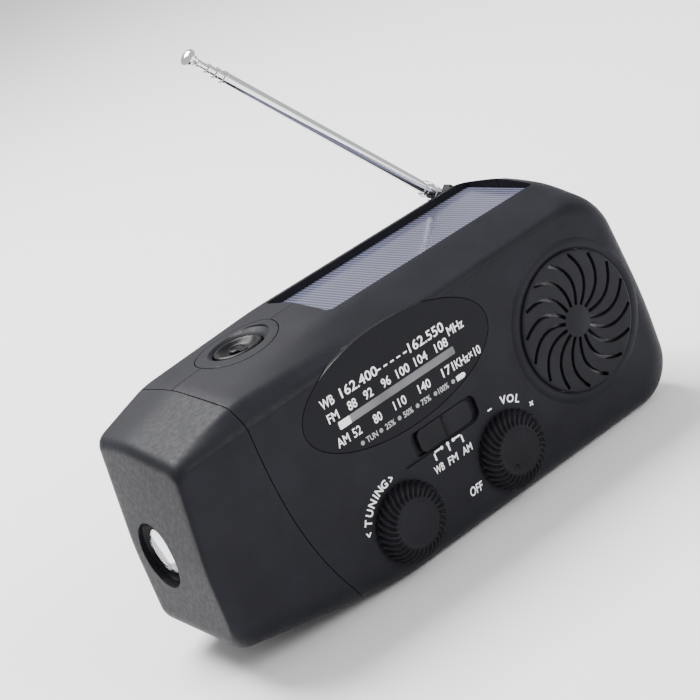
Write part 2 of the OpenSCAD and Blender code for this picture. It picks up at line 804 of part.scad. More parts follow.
module aerial_swivel() {
    seat_y = groove_y - pivot_y + 0.15;
    cheek_x = tongue/2 + 0.9;
    color(black) {
        rod_y(swing_x, swing_z, socket_r, groove_y - wall - 0.2, groove_y + 0.3);
        rod_y(swing_x, swing_z, neck_r, groove_y - wall - 1.5, groove_y);
        on_swivel() difference() {
            union() {
                translate([0, seat_y, 0]) rotate([-90, 0, 0]) cylinder(r = 4.2, h = 0.6);
                box([-cheek_x - 0.75, seat_y, -2.4], [cheek_x + 0.75, 1.4, pivot_lift - 2.4]);
                for (s = [-1, 1]) {
                    box([s*cheek_x - 0.75, seat_y, -2.4], [s*cheek_x + 0.75, 0, pivot_lift + 1.8]);
                    translate([s*cheek_x, 0, pivot_lift]) rotate([0, 90, 0])
                        cylinder(r = 1.8, h = 1.5, center = true);
                }
            }
            translate([-10, 0, pivot_lift]) rotate([0, 90, 0]) cylinder(r = aerial_pin_r, h = 20);
        }
    }
}

module aerial_clip() {
    color("silver") difference() {
        rod_y(swing_x, swing_z, clip_r, groove_y - wall - 1.1, groove_y - wall - 0.3);
        rod_y(swing_x, swing_z, neck_r + fit, groove_y - wall - 2, groove_y - wall + 1);
    }
}

module aerial_pin() {
    color("silver") on_aerial() translate([-tongue/2 - 1.6, 0, 0]) rotate([0, 90, 0])
        cylinder(r = aerial_pin_r, h = tongue + 3.2);
}

module aerial_knuckle() {
    color([0.8, 0.8, 0.82]) on_aerial() difference() {
        union() {
            rotate([0, 90, 0]) translate([0, 0, -tongue/2 + 0.1]) cylinder(r = 1.5, h = tongue - 0.2);
            box([-1.4, -1.2, 0], [1.4, 1.2, 3]);
            translate([0, 0, 2.6]) cylinder(r = 1.9, h = 5);
            translate([0, 0, 3.6]) cylinder(r = 2.1, h = 1);
            translate([0, 0, 5.8]) cylinder(r = 2.1, h = 1);
        }
        rotate([0, 90, 0]) translate([0, 0, -5]) cylinder(r = aerial_pin_r + fit, h = 10);
        translate([0, 0, 5]) cylinder(r = aerial_r, h = 10);
    }
}

// One hollow tube; each later tube is narrower and stands out a little further
function tube_r(i) = aerial_r - i*(tube_wall + fit/2);
function tube_top(i) = aerial_len - 3.2 - (3 - i)*tube_step;

module tube(i) {
    color([0.85, 0.85, 0.87]) on_aerial() difference() {
        translate([0, 0, 5 + 0.4*i]) cylinder(r = tube_r(i), h = tube_top(i) - 5 - 0.4*i);
        translate([0, 0, 5.4 + 0.4*i]) cylinder(r = tube_r(i) - tube_wall, h = big);
    }
}

module aerial_tube_1() { tube(0); }
module aerial_tube_2() { tube(1); }
module aerial_tube_3() { tube(2); }
module aerial_tube_4() { tube(3); }

module aerial_tip() {
    color([0.85, 0.85, 0.87]) on_aerial() {
        translate([0, 0, aerial_len - 6]) cylinder(r = tube_r(3) - tube_wall, h = 4);
        translate([0, 0, aerial_len - 3.2]) rotate_extrude() polygon([
            [0, 0], [1.1, 0], [1.4, 1], [2, 1.6], [2.1, 2.3], [1.6, 2.9], [0.8, 3.2], [0, 3.2]]);
    }
}

// ---------- ports ----------
module port_board() {
    color([0.05, 0.35, 0.16])
        box([x_end - 12, port_y - 7, port_z - port_gap - 4.4], [x_end - wall - 8.6, port_y + 5, port_z + 6]);
}

module output_socket() {
    color([0.8, 0.8, 0.82]) difference() {
        box([x_end - wall - 8.6, port_y - 6.6, port_z - 3.2],
            [x_end - 2.1, port_y + 5.2, port_z + 3.2]);
        box([x_end - wall - 6, port_y - 6, port_z - 2.6], [x_end, port_y + 4.6, port_z + 2.6]);
    }
}

module charge_socket() {
    color([0.8, 0.8, 0.82]) difference() {
        box([x_end - wall - 8.6, port_y - 4.6, port_z - port_gap - 1.6],
            [x_end - 2.1, port_y + 3.4, port_z - port_gap + 1.6]);
        box([x_end - wall - 5, port_y - 4.1, port_z - port_gap - 1.1],
            [x_end, port_y + 2.9, port_z - port_gap + 1.1]);
    }
}

module port_cover() {
    low = port_z - port_gap - 4.7;
    color([0.07, 0.07, 0.07]) difference() {
        union() {
            box([hinge_x - 0.75, port_y - 7.1, low], [hinge_x + 0.6, hinge_y, port_z + 6.7]);
            translate([hinge_x, hinge_y, low]) cylinder(r = 0.75, h = port_z + 6.7 - low);
        }
        translate([hinge_x, hinge_y, low - 1]) cylinder(r = 0.4 + fit, h = 40);
    }
}

module port_pin() {
    color("silver") translate([hinge_x, hinge_y, port_z - port_gap - 5])
        cylinder(r = 0.4, h = port_gap + 12);
}

module case_screws() {
    color([0.3, 0.3, 0.3]) for (s = screws) {
        rod_y(s[0], s[1], screw_r - 0.15, part_y - 8, y_back - 6);
        rod_y(s[0], s[1], 2.2, y_back - 6, y_back - 4.2);
    }
}

front_case();
rear_case();
torch_cap();
dial_window();
dial_plate();
dial_pointer();
dial_idler();
tuning_knob();
tuning_capacitor();
volume_knob();
volume_control();
band_slider();
band_switch();
speaker_grille();
grille_cloth();
speaker_basket();
speaker_cone();
speaker_magnet();
main_board();
status_leds();
ferrite_rod();
ferrite_coil();
battery_cell();
battery_holder();
dynamo();
dynamo_pinion();
gear_plate();
step_gear();
crank_gear();
crank_shaft();
crank_arm();
crank_pin();
crank_spindle();
crank_handle();
solar_panel();
solar_cover();
button_ring();
torch_button();
torch_switch();
torch_reflector();
torch_lens();
lens_ring();
torch_led();
led_board();
aerial_swivel();
aerial_clip();
aerial_pin();
aerial_knuckle();
aerial_tube_1();
aerial_tube_2();
aerial_tube_3();
aerial_tube_4();
aerial_tip();
charge_socket();
output_socket();
port_board();
port_cover();
port_pin();
case_screws();
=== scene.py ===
import json
import math

import bmesh
import bpy
from mathutils import Matrix, Vector


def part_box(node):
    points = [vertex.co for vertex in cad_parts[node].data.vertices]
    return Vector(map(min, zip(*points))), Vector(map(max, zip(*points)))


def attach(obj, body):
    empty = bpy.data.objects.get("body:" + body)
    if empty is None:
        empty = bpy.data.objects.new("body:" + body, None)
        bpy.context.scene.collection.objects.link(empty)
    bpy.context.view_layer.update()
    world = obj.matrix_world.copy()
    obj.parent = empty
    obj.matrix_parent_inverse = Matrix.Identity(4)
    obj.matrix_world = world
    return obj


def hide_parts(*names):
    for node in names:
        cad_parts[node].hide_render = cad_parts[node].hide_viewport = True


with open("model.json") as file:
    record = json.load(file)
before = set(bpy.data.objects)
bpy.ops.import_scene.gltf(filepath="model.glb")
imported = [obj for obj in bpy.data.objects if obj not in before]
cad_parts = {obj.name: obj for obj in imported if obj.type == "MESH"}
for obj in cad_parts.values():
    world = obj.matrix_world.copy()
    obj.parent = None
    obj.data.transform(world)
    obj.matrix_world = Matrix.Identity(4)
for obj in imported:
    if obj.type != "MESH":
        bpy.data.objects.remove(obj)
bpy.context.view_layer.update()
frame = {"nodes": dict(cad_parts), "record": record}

# Emergency radio: the looks. Lengths below are in millimetres in the CAD frame (X along the case,
# -Y out of the dial face, Z up) and become metres when a mesh is made.
MM = 0.001


def low(node):
    """The lowest corner of a CAD node's box, in millimetres."""
    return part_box(node)[0] / MM


def high(node):
    """The highest corner of a CAD node's box."""
    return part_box(node)[1] / MM


def middle(node):
    """The centre of a CAD node's box."""
    return (low(node) + high(node)) / 2


# Places and sizes taken from the CAD nodes.
X_END = high("front_case").x
X_CAP = low("rear_case").x
Y_FRONT = low("dial_window").y
Y_BACK = high("rear_case").y
Z_TOP = high("front_case").z
PART_Y = middle("torch_button").y
DIAL = middle("dial_window")
DIAL_A = (high("dial_window").x - low("dial_window").x) / 2
DIAL_B = (high("dial_window").z - low("dial_window").z) / 2
SPEAKER = middle("speaker_grille")
GRILLE_R = (high("speaker_grille").x - low("speaker_grille").x) / 2
SLIDER = middle("band_slider")
BUTTON = middle("torch_button")
BUTTON_R = (high("torch_button").x - low("torch_button").x) / 2
RING_R = (high("button_ring").x - low("button_ring").x) / 2
RING_LOW = low("button_ring").z
SOLAR_LOW, SOLAR_HIGH = low("solar_cover"), high("solar_cover")
SOLAR_FLOOR = low("solar_panel").z
TORCH = middle("torch_lens")
TORCH_R = (high("lens_ring").z - low("lens_ring").z) / 2 - 1
SWING = middle("aerial_clip")
AERIAL_REACH = math.hypot(low("aerial_tip").x - SWING.x, high("aerial_tip").z - SWING.z)
DISH = middle("crank_shaft")
DISH_R = -low("crank_arm").x + 1.0
DISH_FLOOR = low("crank_arm").y - 0.3
FLAP_LOW, FLAP_HIGH = low("port_cover"), high("port_cover")

# Sizes of the looks themselves.
WALL = 2.0
GROOVE_Y = high("aerial_clip").y + WALL + 0.3
CREASE = high("dial_window").z + 0.5    # about the height of the edge between dial face and shoulder
SEAM = 0.11                             # half the gap between two shells
FRONT_TAPER, BACK_TAPER = 0.0976, 0.16  # slopes at which the faces draw in beside the torch
SWITCH_A, SWITCH_B = 9.6, 2.95          # half the length and height of the switch recess
SLIDE = 1.8                             # the slider's travel each way
BAND_Z = DIAL.z - 2.5                   # middle of the scale bar
PROUD, SUNK = 0.03, 0.02                # a print's front and back, measured from the dial face
FAR = 200                               # outside everything, for the open ends of cutters
UP, BACKWARD, INWARD = (0, 0, 1), (0, 1, 0), (1, 0, 0)


# ---------- small helpers ----------
def smooth(t):
    """An S-shaped step from 0 to 1 as t goes from 0 to 1."""
    t = min(1.0, max(0.0, t))
    return t * t * (3 - 2 * t)


def new_object(name, verts, faces, material, sharp=35):
    """A mesh object from points in millimetres, smooth except where faces meet above `sharp` degrees."""
    mesh = bpy.data.meshes.new(name)
    mesh.from_pydata([Vector(v) * MM for v in verts], [], faces)
    return finish_mesh(name, mesh, material, sharp)


def finish_mesh(name, mesh, material, sharp):
    """An object from a mesh, with its normals outward and its smoothing and material set."""
    bm = bmesh.new()
    bm.from_mesh(mesh)
    bmesh.ops.recalc_face_normals(bm, faces=bm.faces)
    bm.to_mesh(mesh)
    bm.free()
    mesh.shade_smooth()
    mesh.set_sharp_from_angle(angle=math.radians(sharp))
    obj = bpy.data.objects.new(name, mesh)
    bpy.context.scene.collection.objects.link(obj)
    if material:
        paint(obj, material)
    return obj


def paint(obj, material):
    """Gives an object one material in place of all that it had."""
    obj.data.materials.clear()
    obj.data.materials.append(material)


def shape_now(obj):
    """A new mesh from the object as it looks with its modifiers."""
    bpy.context.view_layer.update()
    return bpy.data.meshes.new_from_object(obj.evaluated_get(bpy.context.evaluated_depsgraph_get()))


def bake(obj):
    """Puts the result of an object's modifiers into its mesh."""
    baked = shape_now(obj)
    obj.modifiers.clear()
    obj.data = baked


def boolean(obj, others, how="DIFFERENCE"):
    """Cuts obj with each of others, or joins or crosses them, and drops the others."""
    for other in others:
        mod = obj.modifiers.new("cut", "BOOLEAN")
        mod.operation = how
        mod.solver = "MANIFOLD"
        mod.object = other
    bake(obj)
    for other in others:
        bpy.data.objects.remove(other)


def copy_of(obj, name):
    """A second object with a mesh of its own."""
    twin = obj.copy()
    twin.data = obj.data.copy()
    twin.name = name
    bpy.context.scene.collection.objects.link(twin)
    return twin


def tube_faces(rings, count):
    """Quads between successive closed rings of `count` points."""
    faces = []
    for i in range(rings - 1):
        for j in range(count):
            k = (j + 1) % count
            faces.append((i * count + j, i * count + k, (i + 1) * count + k, (i + 1) * count + j))
    return faces


def lathe(name, profile, at, axis, material, segments=96, sharp=35):
    """Turns (radius, height) points round an axis through `at`. A closed solid if both ends meet the axis
    or the profile is a closed loop (first point repeated last)."""
    axis = Vector(axis).normalized()
    side = Vector((0, 0, 1)) if abs(axis.z) < 0.9 else Vector((1, 0, 0))
    u = (side - axis * side.dot(axis)).normalized()
    v = axis.cross(u)
    loop = profile[0] == profile[-1]
    points = profile[:-1] if loop else profile
    verts, rings = [], []
    for r, h in points:
        centre = Vector(at) + axis * h
        if r < 1e-6:
            rings.append([len(verts)])
            verts.append(centre)
            continue
        rings.append(list(range(len(verts), len(verts) + segments)))
        angles = [2 * math.pi * i / segments for i in range(segments)]
        verts += [centre + (u * math.cos(a) + v * math.sin(a)) * r for a in angles]
    faces = []
    pairs = list(zip(rings, rings[1:])) + ([(rings[-1], rings[0])] if loop else [])
    for a, b in pairs:
        if len(a) == 1 and len(b) == 1:
            continue
        for i in range(segments):
            k = (i + 1) % segments
            if len(a) == 1:
                faces.append((a[0], b[k], b[i]))
            elif len(b) == 1:
                faces.append((a[i], a[k], b[0]))
            else:
                faces.append((a[i], a[k], b[k], b[i]))
    return new_object(name, verts, faces, material, sharp)


def post(name, at, axis, r, length, material=None, segments=96):
    """A plain cylinder that starts at `at`."""
    return lathe(name, [(0, 0), (r, 0), (r, length), (0, length)], at, axis, material, segments)


def rod(name, x, z, r, y0, y1, segments=96):
    """A cutter along Y from y0 to y1."""
    return post(name, (x, y0, z), BACKWARD, r, y1 - y0, None, segments)


def prism(name, outline, lo, hi, axis="y", material=None):
    """A flat outline (list of 2D points) pulled from lo to hi along an axis."""
    spot = {
        "x": lambda p, t: (t, p[0], p[1]),
        "y": lambda p, t: (p[0], t, p[1]),
        "z": lambda p, t: (p[0], p[1], t),
    }[axis]
    n = len(outline)
    verts = [spot(p, lo) for p in outline] + [spot(p, hi) for p in outline]
    faces = [tuple(range(n - 1, -1, -1)), tuple(range(n, 2 * n))] + tube_faces(2, n)
    return new_object(name, verts, faces, material)


def block(name, lo, hi, r=0.0, material=None):
    """A box, with its upright edges rounded by r if r is given."""
    if r:
        outline = rounded_box(lo[0], lo[1], hi[0], hi[1], r, 6)
    else:
        outline = [(lo[0], lo[1]), (hi[0], lo[1]), (hi[0], hi[1]), (lo[0], hi[1])]
    return prism(name, outline, lo[2], hi[2], "z", material)


def soften(obj, width, segments=2, material=None):
    """Rounds an object's sharp edges with real bevels, and keeps its flat faces flat in the shading."""
    mod = obj.modifiers.new("edge", "BEVEL")
    mod.width = width * MM
    mod.segments = segments
    mod.limit_method = "ANGLE"
    mod.angle_limit = math.radians(40)
    mod.harden_normals = False
    bake(obj)
    obj.data.shade_smooth()
    obj.data.set_sharp_from_angle(angle=math.radians(35))
    mod = obj.modifiers.new("flat", "WEIGHTED_NORMAL")
    mod.keep_sharp = True
    bake(obj)
    if material:
        paint(obj, material)


def corner(a, b, c, r, n):
    """Arc points that round the corner b of the path a-b-c."""
    a, b, c = Vector(a), Vector(b), Vector(c)
    u, v = (a - b), (c - b)
    reach = min(u.length, v.length) * 0.49
    u.normalize()
    v.normalize()
    half = math.acos(max(-1, min(1, u.dot(v)))) / 2
    t = min(r / math.tan(half), reach)
    r = t * math.tan(half)
    m = b + (u + v).normalized() * r / math.sin(half)
    s, e = b + u * t - m, b + v * t - m
    w = s.angle(e)
    shares = [(math.sin((1 - i / n) * w), math.sin(i / n * w)) for i in range(n + 1)]
    return [m + s * (p / math.sin(w)) + e * (q / math.sin(w)) for p, q in shares]


def rounded(corners, n=8):
    """A closed outline from (x, y, radius) corners."""
    k = len(corners)
    points = []
    for i in range(k):
        a, b, c = corners[i - 1], corners[i], corners[(i + 1) % k]
        points += corner(a[:2], b[:2], c[:2], max(b[2], 0.01), n)
    return points


def rounded_box(x0, y0, x1, y1, r, n=8):
    """The outline of a rectangle with its corners rounded by r."""
    return rounded([(x0, y0, r), (x1, y0, r), (x1, y1, r), (x0, y1, r)], n)


def place(obj, body, slot, *nodes):
    """Fixes a piece to a CAD body, in place of the nodes named."""
    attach(obj, body)
    if nodes:
        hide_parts(*nodes)


# ---------- materials ----------
def shader(name, colour, rough, metallic=0.0, **sockets):
    """A material with these values on its Principled shader."""
    mat = bpy.data.materials.new(name)
    mat.use_nodes = True
    bsdf = mat.node_tree.nodes["Principled BSDF"]
    bsdf.inputs["Base Color"].default_value = (*colour, 1)
    bsdf.inputs["Roughness"].default_value = rough
    bsdf.inputs["Metallic"].default_value = metallic
    for key, value in sockets.items():
        bsdf.inputs[key.replace("_", " ")].default_value = value
    return mat


def noise(mat, scale, detail=3.0, stretch=(1, 1, 1)):
    """Object-space noise, scale in cells per metre."""
    nodes, links = mat.node_tree.nodes, mat.node_tree.links
    coords = nodes.new("ShaderNodeTexCoord")
    mapping = nodes.new("ShaderNodeMapping")
    mapping.inputs["Scale"].default_value = stretch
    tex = nodes.new("ShaderNodeTexNoise")
    tex.inputs["Scale"].default_value = scale
    tex.inputs["Detail"].default_value = detail
    links.new(coords.outputs["Object"], mapping.inputs["Vector"])
    links.new(mapping.outputs["Vector"], tex.inputs["Vector"])
    return tex


def vary(mat, tex, socket, lo, hi):
    """Spreads a noise over a socket between two values or two colours."""
    nodes, links = mat.node_tree.nodes, mat.node_tree.links
    bsdf = nodes["Principled BSDF"]
    ramp = nodes.new("ShaderNodeValToRGB")
    ramp.color_ramp.elements[0].position = 0.3
    ramp.color_ramp.elements[1].position = 0.7
    pair = [v if isinstance(v, tuple) else (v, v, v) for v in (lo, hi)]
    for element, value in zip(ramp.color_ramp.elements, pair):
        element.color = (*value, 1)
    links.new(tex.outputs["Fac"], ramp.inputs["Fac"])
    links.new(ramp.outputs["Color"], bsdf.inputs[socket])


def bump(mat, tex, depth, strength=1.0):
    """Bump from a noise; depth in millimetres."""
    nodes, links = mat.node_tree.nodes, mat.node_tree.links
    node = nodes.new("ShaderNodeBump")
    node.inputs["Distance"].default_value = depth * MM
    node.inputs["Strength"].default_value = strength
    links.new(tex.outputs["Fac"], node.inputs["Height"])
    links.new(node.outputs["Normal"], nodes["Principled BSDF"].inputs["Normal"])


def moulded(name, colour, rough, grain=0.02, spread=0.25, shine=0.1):
    """Moulded plastic: a fine spark-eroded grain, with slightly uneven shade and gloss."""
    mat = shader(name, colour, rough, Specular_IOR_Level=shine)
    dark, light = (tuple(c * share for c in colour) for share in (1 - spread, 1 + spread))
    vary(mat, noise(mat, 120, 4), "Base Color", dark, light)
    vary(mat, noise(mat, 900, 2), "Roughness", rough - 0.05, rough + 0.06)
    bump(mat, noise(mat, 2600, 3), grain, 0.6)
    return mat


def metal(name, colour, rough, stretch=(1, 1, 1), depth=0.003):
    """Bare or plated metal: uneven gloss and faint marks, drawn out along an axis by `stretch`."""
    mat = shader(name, colour, rough, 1.0)
    vary(mat, noise(mat, 400, 3, stretch), "Roughness", rough * 0.7, rough * 1.4)
    bump(mat, noise(mat, 1500, 3, stretch), depth, 0.5)
    return mat


CASE = moulded("case_black", (0.0110, 0.0110, 0.0150), 0.47, 0.012, 0.15)
KNOB = moulded("knob_black", (0.0100, 0.0100, 0.0128), 0.38, 0.008, 0.15)
BUTTON_BLACK = moulded("button_black", (0.006, 0.006, 0.007), 0.30, 0.008)
GRILLE = moulded("grille_black", (0.0120, 0.0120, 0.0155), 0.45, 0.015, 0.15)
GLOSS = moulded("dial_gloss", (0.012, 0.012, 0.014), 0.12, 0.001, 0.1)
SCALE = moulded("dial_scale", (0.05, 0.05, 0.055), 0.4, 0.002)
BAR = moulded("dial_bar", (0.16, 0.16, 0.17), 0.4, 0.002)
PRINT = moulded("white_print", (0.93, 0.93, 0.95), 0.5, 0.001, 0.04)
DIM_PRINT = moulded("grey_print", (0.45, 0.45, 0.46), 0.5, 0.001, 0.05)
WHITE = moulded("white_plastic", (0.72, 0.72, 0.70), 0.4, 0.004, 0.05)
RUBBER = moulded("soft_rubber", (0.017, 0.017, 0.018), 0.7, 0.03)
CHROME = metal("bright_chrome", (0.86, 0.87, 0.89), 0.06)
STEEL = metal("plated_steel", (0.62, 0.62, 0.65), 0.3, (1, 6, 1), 0.006)
COPPER = metal("copper_wire", (0.75, 0.42, 0.24), 0.3, (30, 1, 1), 0.02)
BRASS = metal("brass_gear", (0.78, 0.6, 0.28), 0.25)
IRON = metal("sintered_iron", (0.12, 0.12, 0.13), 0.5)
BOARD = moulded("board_green", (0.02, 0.16, 0.07), 0.35, 0.004)
EMITTER = moulded("warm_led", (0.9, 0.85, 0.55), 0.25, 0.002, 0.04)
LED_LENS = moulded("led_grey", (0.28, 0.30, 0.29), 0.3, 0.002, 0.1)
CELL_WRAP = moulded("cell_wrap", (0.02, 0.12, 0.3), 0.35, 0.004)
SMOKED = moulded("dial_smoked", (0.0065, 0.0065, 0.009), 0.22, 0.0015, 0.08, 0.09)
GLASS = shader("torch_clear", (0.95, 0.97, 1.0), 0.03, Transmission_Weight=1.0, IOR=1.49)
vary(GLASS, noise(GLASS, 300), "Roughness", 0.02, 0.05)
MIRROR = metal("reflector_silver", (0.9, 0.9, 0.92), 0.08)


def solar_cells_and_painted_sheen():
    """Laminated cells: fine dark blue and pale lilac strips across the panel. The pale lilac is painted sheen
    in the base colour, over the surface's real gloss.
    """
    mat = shader("solar_cells_painted_sheen", (0.03, 0.035, 0.09), 0.2, Specular_IOR_Level=0.35)
    nodes, links = mat.node_tree.nodes, mat.node_tree.links
    coords = nodes.new("ShaderNodeTexCoord")
    wave = nodes.new("ShaderNodeTexWave")
    wave.wave_type, wave.bands_direction = "BANDS", "X"
    wave.inputs["Scale"].default_value = 300
    wave.inputs["Distortion"].default_value = 0.05
    ramp = nodes.new("ShaderNodeValToRGB")
    ramp.color_ramp.elements[0].position = 0.35
    ramp.color_ramp.elements[0].color = (0.045, 0.047, 0.085, 1)
    ramp.color_ramp.elements[1].position = 0.75
    # painted sheen: the pale lilac end of the strips' colour stands in for the panel's sheen; the strip
    # pattern itself is the cells' own
    ramp.color_ramp.elements[1].color = (0.13, 0.132, 0.18, 1)
    links.new(coords.outputs["Object"], wave.inputs["Vector"])
    links.new(wave.outputs["Fac"], ramp.inputs["Fac"])
    links.new(ramp.outputs["Color"], nodes["Principled BSDF"].inputs["Base Color"])
    vary(mat, noise(mat, 60), "Roughness", 0.12, 0.2)
    return mat


SOLAR = solar_cells_and_painted_sheen()


# ---------- case ----------
def fillet(d, r):
    """How far an edge rounded to radius r has drawn in at depth d from the face."""
    return r - math.sqrt(r * r - (r - d) ** 2) if 0 <= d < r else 0.0


def roof_drop(y, width, height):
    """Drop of the top at depth y: crown, shoulder down to the front crease, and rounded back edge."""
    crown = 0.1 * (math.hypot(y - PART_Y, 3) - 3)
    u = (y - Y_FRONT) / width
    shoulder = height * 0.5 * ((1 - u) + math.hypot(1 - u, 0.14))
    return crown + shoulder + 0.7 * fillet(y - Y_FRONT, 1.6) + fillet(Y_BACK - y, 5.5)


def case_corners(y):
    """Corners of the case's outline in X and Z at depth y, as (x, z, radius)."""
    front, back = y - Y_FRONT, Y_BACK - y
    right = X_END - fillet(front, 6) - fillet(back, 7)
    base = fillet(front, 6) + fillet(back, 6)
    slant = 2.0 * max(0.0, front - 2) / 39
    left = -X_END + slant + fillet(front, 0.9) + fillet(back, 8)
    return [
        (left, 28, 70),                                              # torch end, slightly bowed
        (left + 2.6, Z_TOP - 6 - roof_drop(y, 2.5, 1.0), 3.2),       # its upper corner
        (X_CAP + 1, Z_TOP - 1.9 - roof_drop(y, 4.5, 3.9), 25),       # top by the cap's seam
        (X_CAP + 33, Z_TOP - roof_drop(y, 12, 4.7), 150),            # top over the dial
        (right - 3.8, Z_TOP - roof_drop(y, 15, 3.2), 13),            # upper corner by the speaker
        (right, 24, 120),                                            # speaker end, slightly bowed
        (right, base, 10),                                           # its lower corner
        (X_CAP + 22, base, 60),                                      # where the base starts to rise
        (left - 0.2, 8.4 + base, 5),                                 # lower corner of the torch end
    ]


def resample(path, count):
    """The path's points at `count` + 1 equal steps along it."""
    lengths = [0.0]
    for a, b in zip(path, path[1:]):
        lengths.append(lengths[-1] + (b - a).length)
    points, k = [], 0
    for i in range(count + 1):
        s = lengths[-1] * i / count
        while k < len(path) - 2 and lengths[k + 1] < s:
            k += 1
        f = (s - lengths[k]) / max(1e-9, lengths[k + 1] - lengths[k])
        points.append(path[k].lerp(path[k + 1], min(1.0, max(0.0, f))))
    return points


def case_ring(y, count):
    """The outline at depth y as its upper and its lower chain, both from the torch end to the speaker end."""
    arc = 16
    loop = [Vector(p) for p in rounded(case_corners(y), arc)]
    first, last = arc // 2, 5 * (arc + 1) + arc // 2
    upper = loop[first:last + 1]
    lower = (loop[last:] + loop[:first + 1])[::-1]
    return resample(upper, count), resample(lower, count)


def taper(x, slope):
    """How far a face has drawn in at x, beside the torch."""
    return slope * 0.5 * ((X_CAP - x) + math.hypot(X_CAP - x, 4))


def case_depths():
    """Depths of the skin's rings, close together where its front and back edges are rounded."""
    fine = [1 - math.cos(math.pi / 2 * i / 12) for i in range(13)]
    depths = [Y_FRONT + 6 * f for f in fine] + [Y_BACK - 8 * f for f in fine]
    depths += [Y_FRONT + 6 + i for i in range(1, 15)] + [0.0, 3.0, 7.0, 11.0]
    return sorted({round(y, 4) for y in depths})


def close_end(verts, faces, ring, y, slope, rows):
    """Fills one end of the skin with a grid of faces, `rows` from top to bottom, that follows the taper."""
    count = len(ring) // 2
    inner = {}
    for i in range(1, count):
        bottom, top = Vector(verts[ring[-i]]), Vector(verts[ring[i]])
        inner[i] = []
        for j in range(1, rows):
            p = bottom.lerp(top, j / rows)
            inner[i].append(len(verts))
            verts.append((p.x, y + taper(p.x, slope), p.z))

    def grid(i, j):
        if j == 0 or i in (0, count):
            return ring[-i]
        return ring[i] if j == rows else inner[i][j - 1]

    for i in range(count):
        for j in range(rows):
            quad = [grid(i, j), grid(i + 1, j), grid(i + 1, j + 1), grid(i, j + 1)]
            face = [q for k, q in enumerate(quad) if q != quad[k - 1]]
            if len(set(face)) >= 3:
                faces.append(tuple(face))


def case_body(name, count=300, rows=10):
    """The whole case as one closed skin, lofted from front to back."""
    depths = case_depths()
    verts, faces, rings = [], [], []
    for y in depths:
        upper, lower = case_ring(y, count)
        f = (y - Y_FRONT) / (Y_BACK - Y_FRONT)
        slope = FRONT_TAPER * (1 - f) - BACK_TAPER * f
        loop = upper + lower[-2:0:-1]
        rings.append(list(range(len(verts), len(verts) + len(loop))))
        verts += [(p.x, y + taper(p.x, slope), p.y) for p in loop]
    n = 2 * count
    for a, b in zip(rings, rings[1:]):
        for i in range(n):
            faces.append((a[i], a[(i + 1) % n], b[(i + 1) % n], b[i]))
    close_end(verts, faces, rings[0], depths[0], FRONT_TAPER, rows)
    close_end(verts, faces, rings[-1], depths[-1], -BACK_TAPER, rows)
    return new_object(name, verts, faces, CASE)


def oval(grow, count=128):
    """The dial window's outline, grown by `grow`."""
    angles = [2 * math.pi * i / count for i in range(count)]
    return [(DIAL.x + (DIAL_A + grow) * math.cos(a), DIAL.z + (DIAL_B + grow) * math.sin(a)) for a in angles]


def recesses(tag, grow=0.0):
    """Everything that is let into the case from outside, grown by `grow` all round."""
    gap = 0.15 + grow
    lo, hi = SOLAR_LOW, SOLAR_HIGH
    solar = rounded_box(lo.x - gap, lo.y - gap, hi.x + gap, hi.y + gap, 1.6 + grow)
    left, right, bottom = SWING.x - AERIAL_REACH - 3 - grow, SWING.x + 5.6 + grow, SWING.z - 2.6 - grow
    groove = rounded([(left, bottom, 2), (right, bottom, 2), (right, FAR, 1), (left, FAR, 1)])
    left, bottom, top = SWING.x - 7.4 - grow, SWING.z - 4 - grow, SWING.z + 2
    pivot = rounded([(left, bottom, 1.5), (SWING.x, bottom, 0.5), (SWING.x, top, 0.5), (left, top, 0.5)])
    floor = GROOVE_Y - grow
    return [
        prism(tag + "solar", solar, SOLAR_FLOOR - grow, FAR, "z"),
        prism(tag + "groove", groove, floor, FAR),
        prism(tag + "pivot", pivot, floor, FAR),
        rod(tag + "pocket", SWING.x, SWING.z, 4.7 + grow, floor, FAR),
        rod(tag + "dish", DISH.x, DISH.z, DISH_R + grow, DISH_FLOOR - grow, FAR, 160),
    ]


def flush_ring(body):
    """Cuts the ring round the torch button out of the case's own skin, with a bowl down to the button."""
    r, b = RING_R - 0.1, BUTTON_R
    at = (BUTTON.x, BUTTON.y, high("button_ring").z)
    disc = lathe("ring_disc", [(0, -2.2), (r, -2.2), (r, 6), (0, 6)], at, UP, None, 160)
    boolean(body, [disc], "INTERSECT")
    bowl = lathe("ring_bowl", [
        (0, -4), (b + 0.2, -4), (b + 0.2, -1.3), (b + 0.5, -0.9), (b + 1.1, -0.55), (b + 2.0, 0.0),
        (b + 2.3, 0.8), (0, 0.8)], at, UP, None, 128)
    boolean(body, [bowl])
    soften(body, 0.12, 2, CASE)
    place(body, "case", "black_plastic", "button_ring")


def hollow_space():
    """The case's skin drawn in by the wall, less what stays solid behind the recesses."""
    hollow = case_body("hollow", 120, 4)
    centre = Vector((0, 0, 29)) * MM
    thinner = [1 - 2 * WALL / size for size in (2 * X_END, Y_BACK - Y_FRONT, Z_TOP)]
    to_centre, back = Matrix.Translation(-centre), Matrix.Translation(centre)
    hollow.data.transform(back @ Matrix.Diagonal((*thinner, 1)) @ to_centre)
    lining = recesses("lining_", WALL)
    lining.append(post("lining_button", (BUTTON.x, BUTTON.y, RING_LOW - WALL), UP, RING_R + WALL, 40))
    boolean(hollow, lining)
    return hollow


def speaker_rim():
    """The raised bevelled ring round the speaker."""
    r = GRILLE_R
    return lathe("speaker_ring", [
        (0, 1.5), (r + 2.55, 1.5), (r + 2.55, 0), (r + 2.3, -0.12), (r + 1.9, -0.28), (r + 1.4, -0.36),
        (r + 0.9, -0.36), (r + 0.45, -0.25), (r + 0.2, -0.05), (0, -0.05)],
        (SPEAKER.x, Y_FRONT, SPEAKER.z), BACKWARD, None, 160)


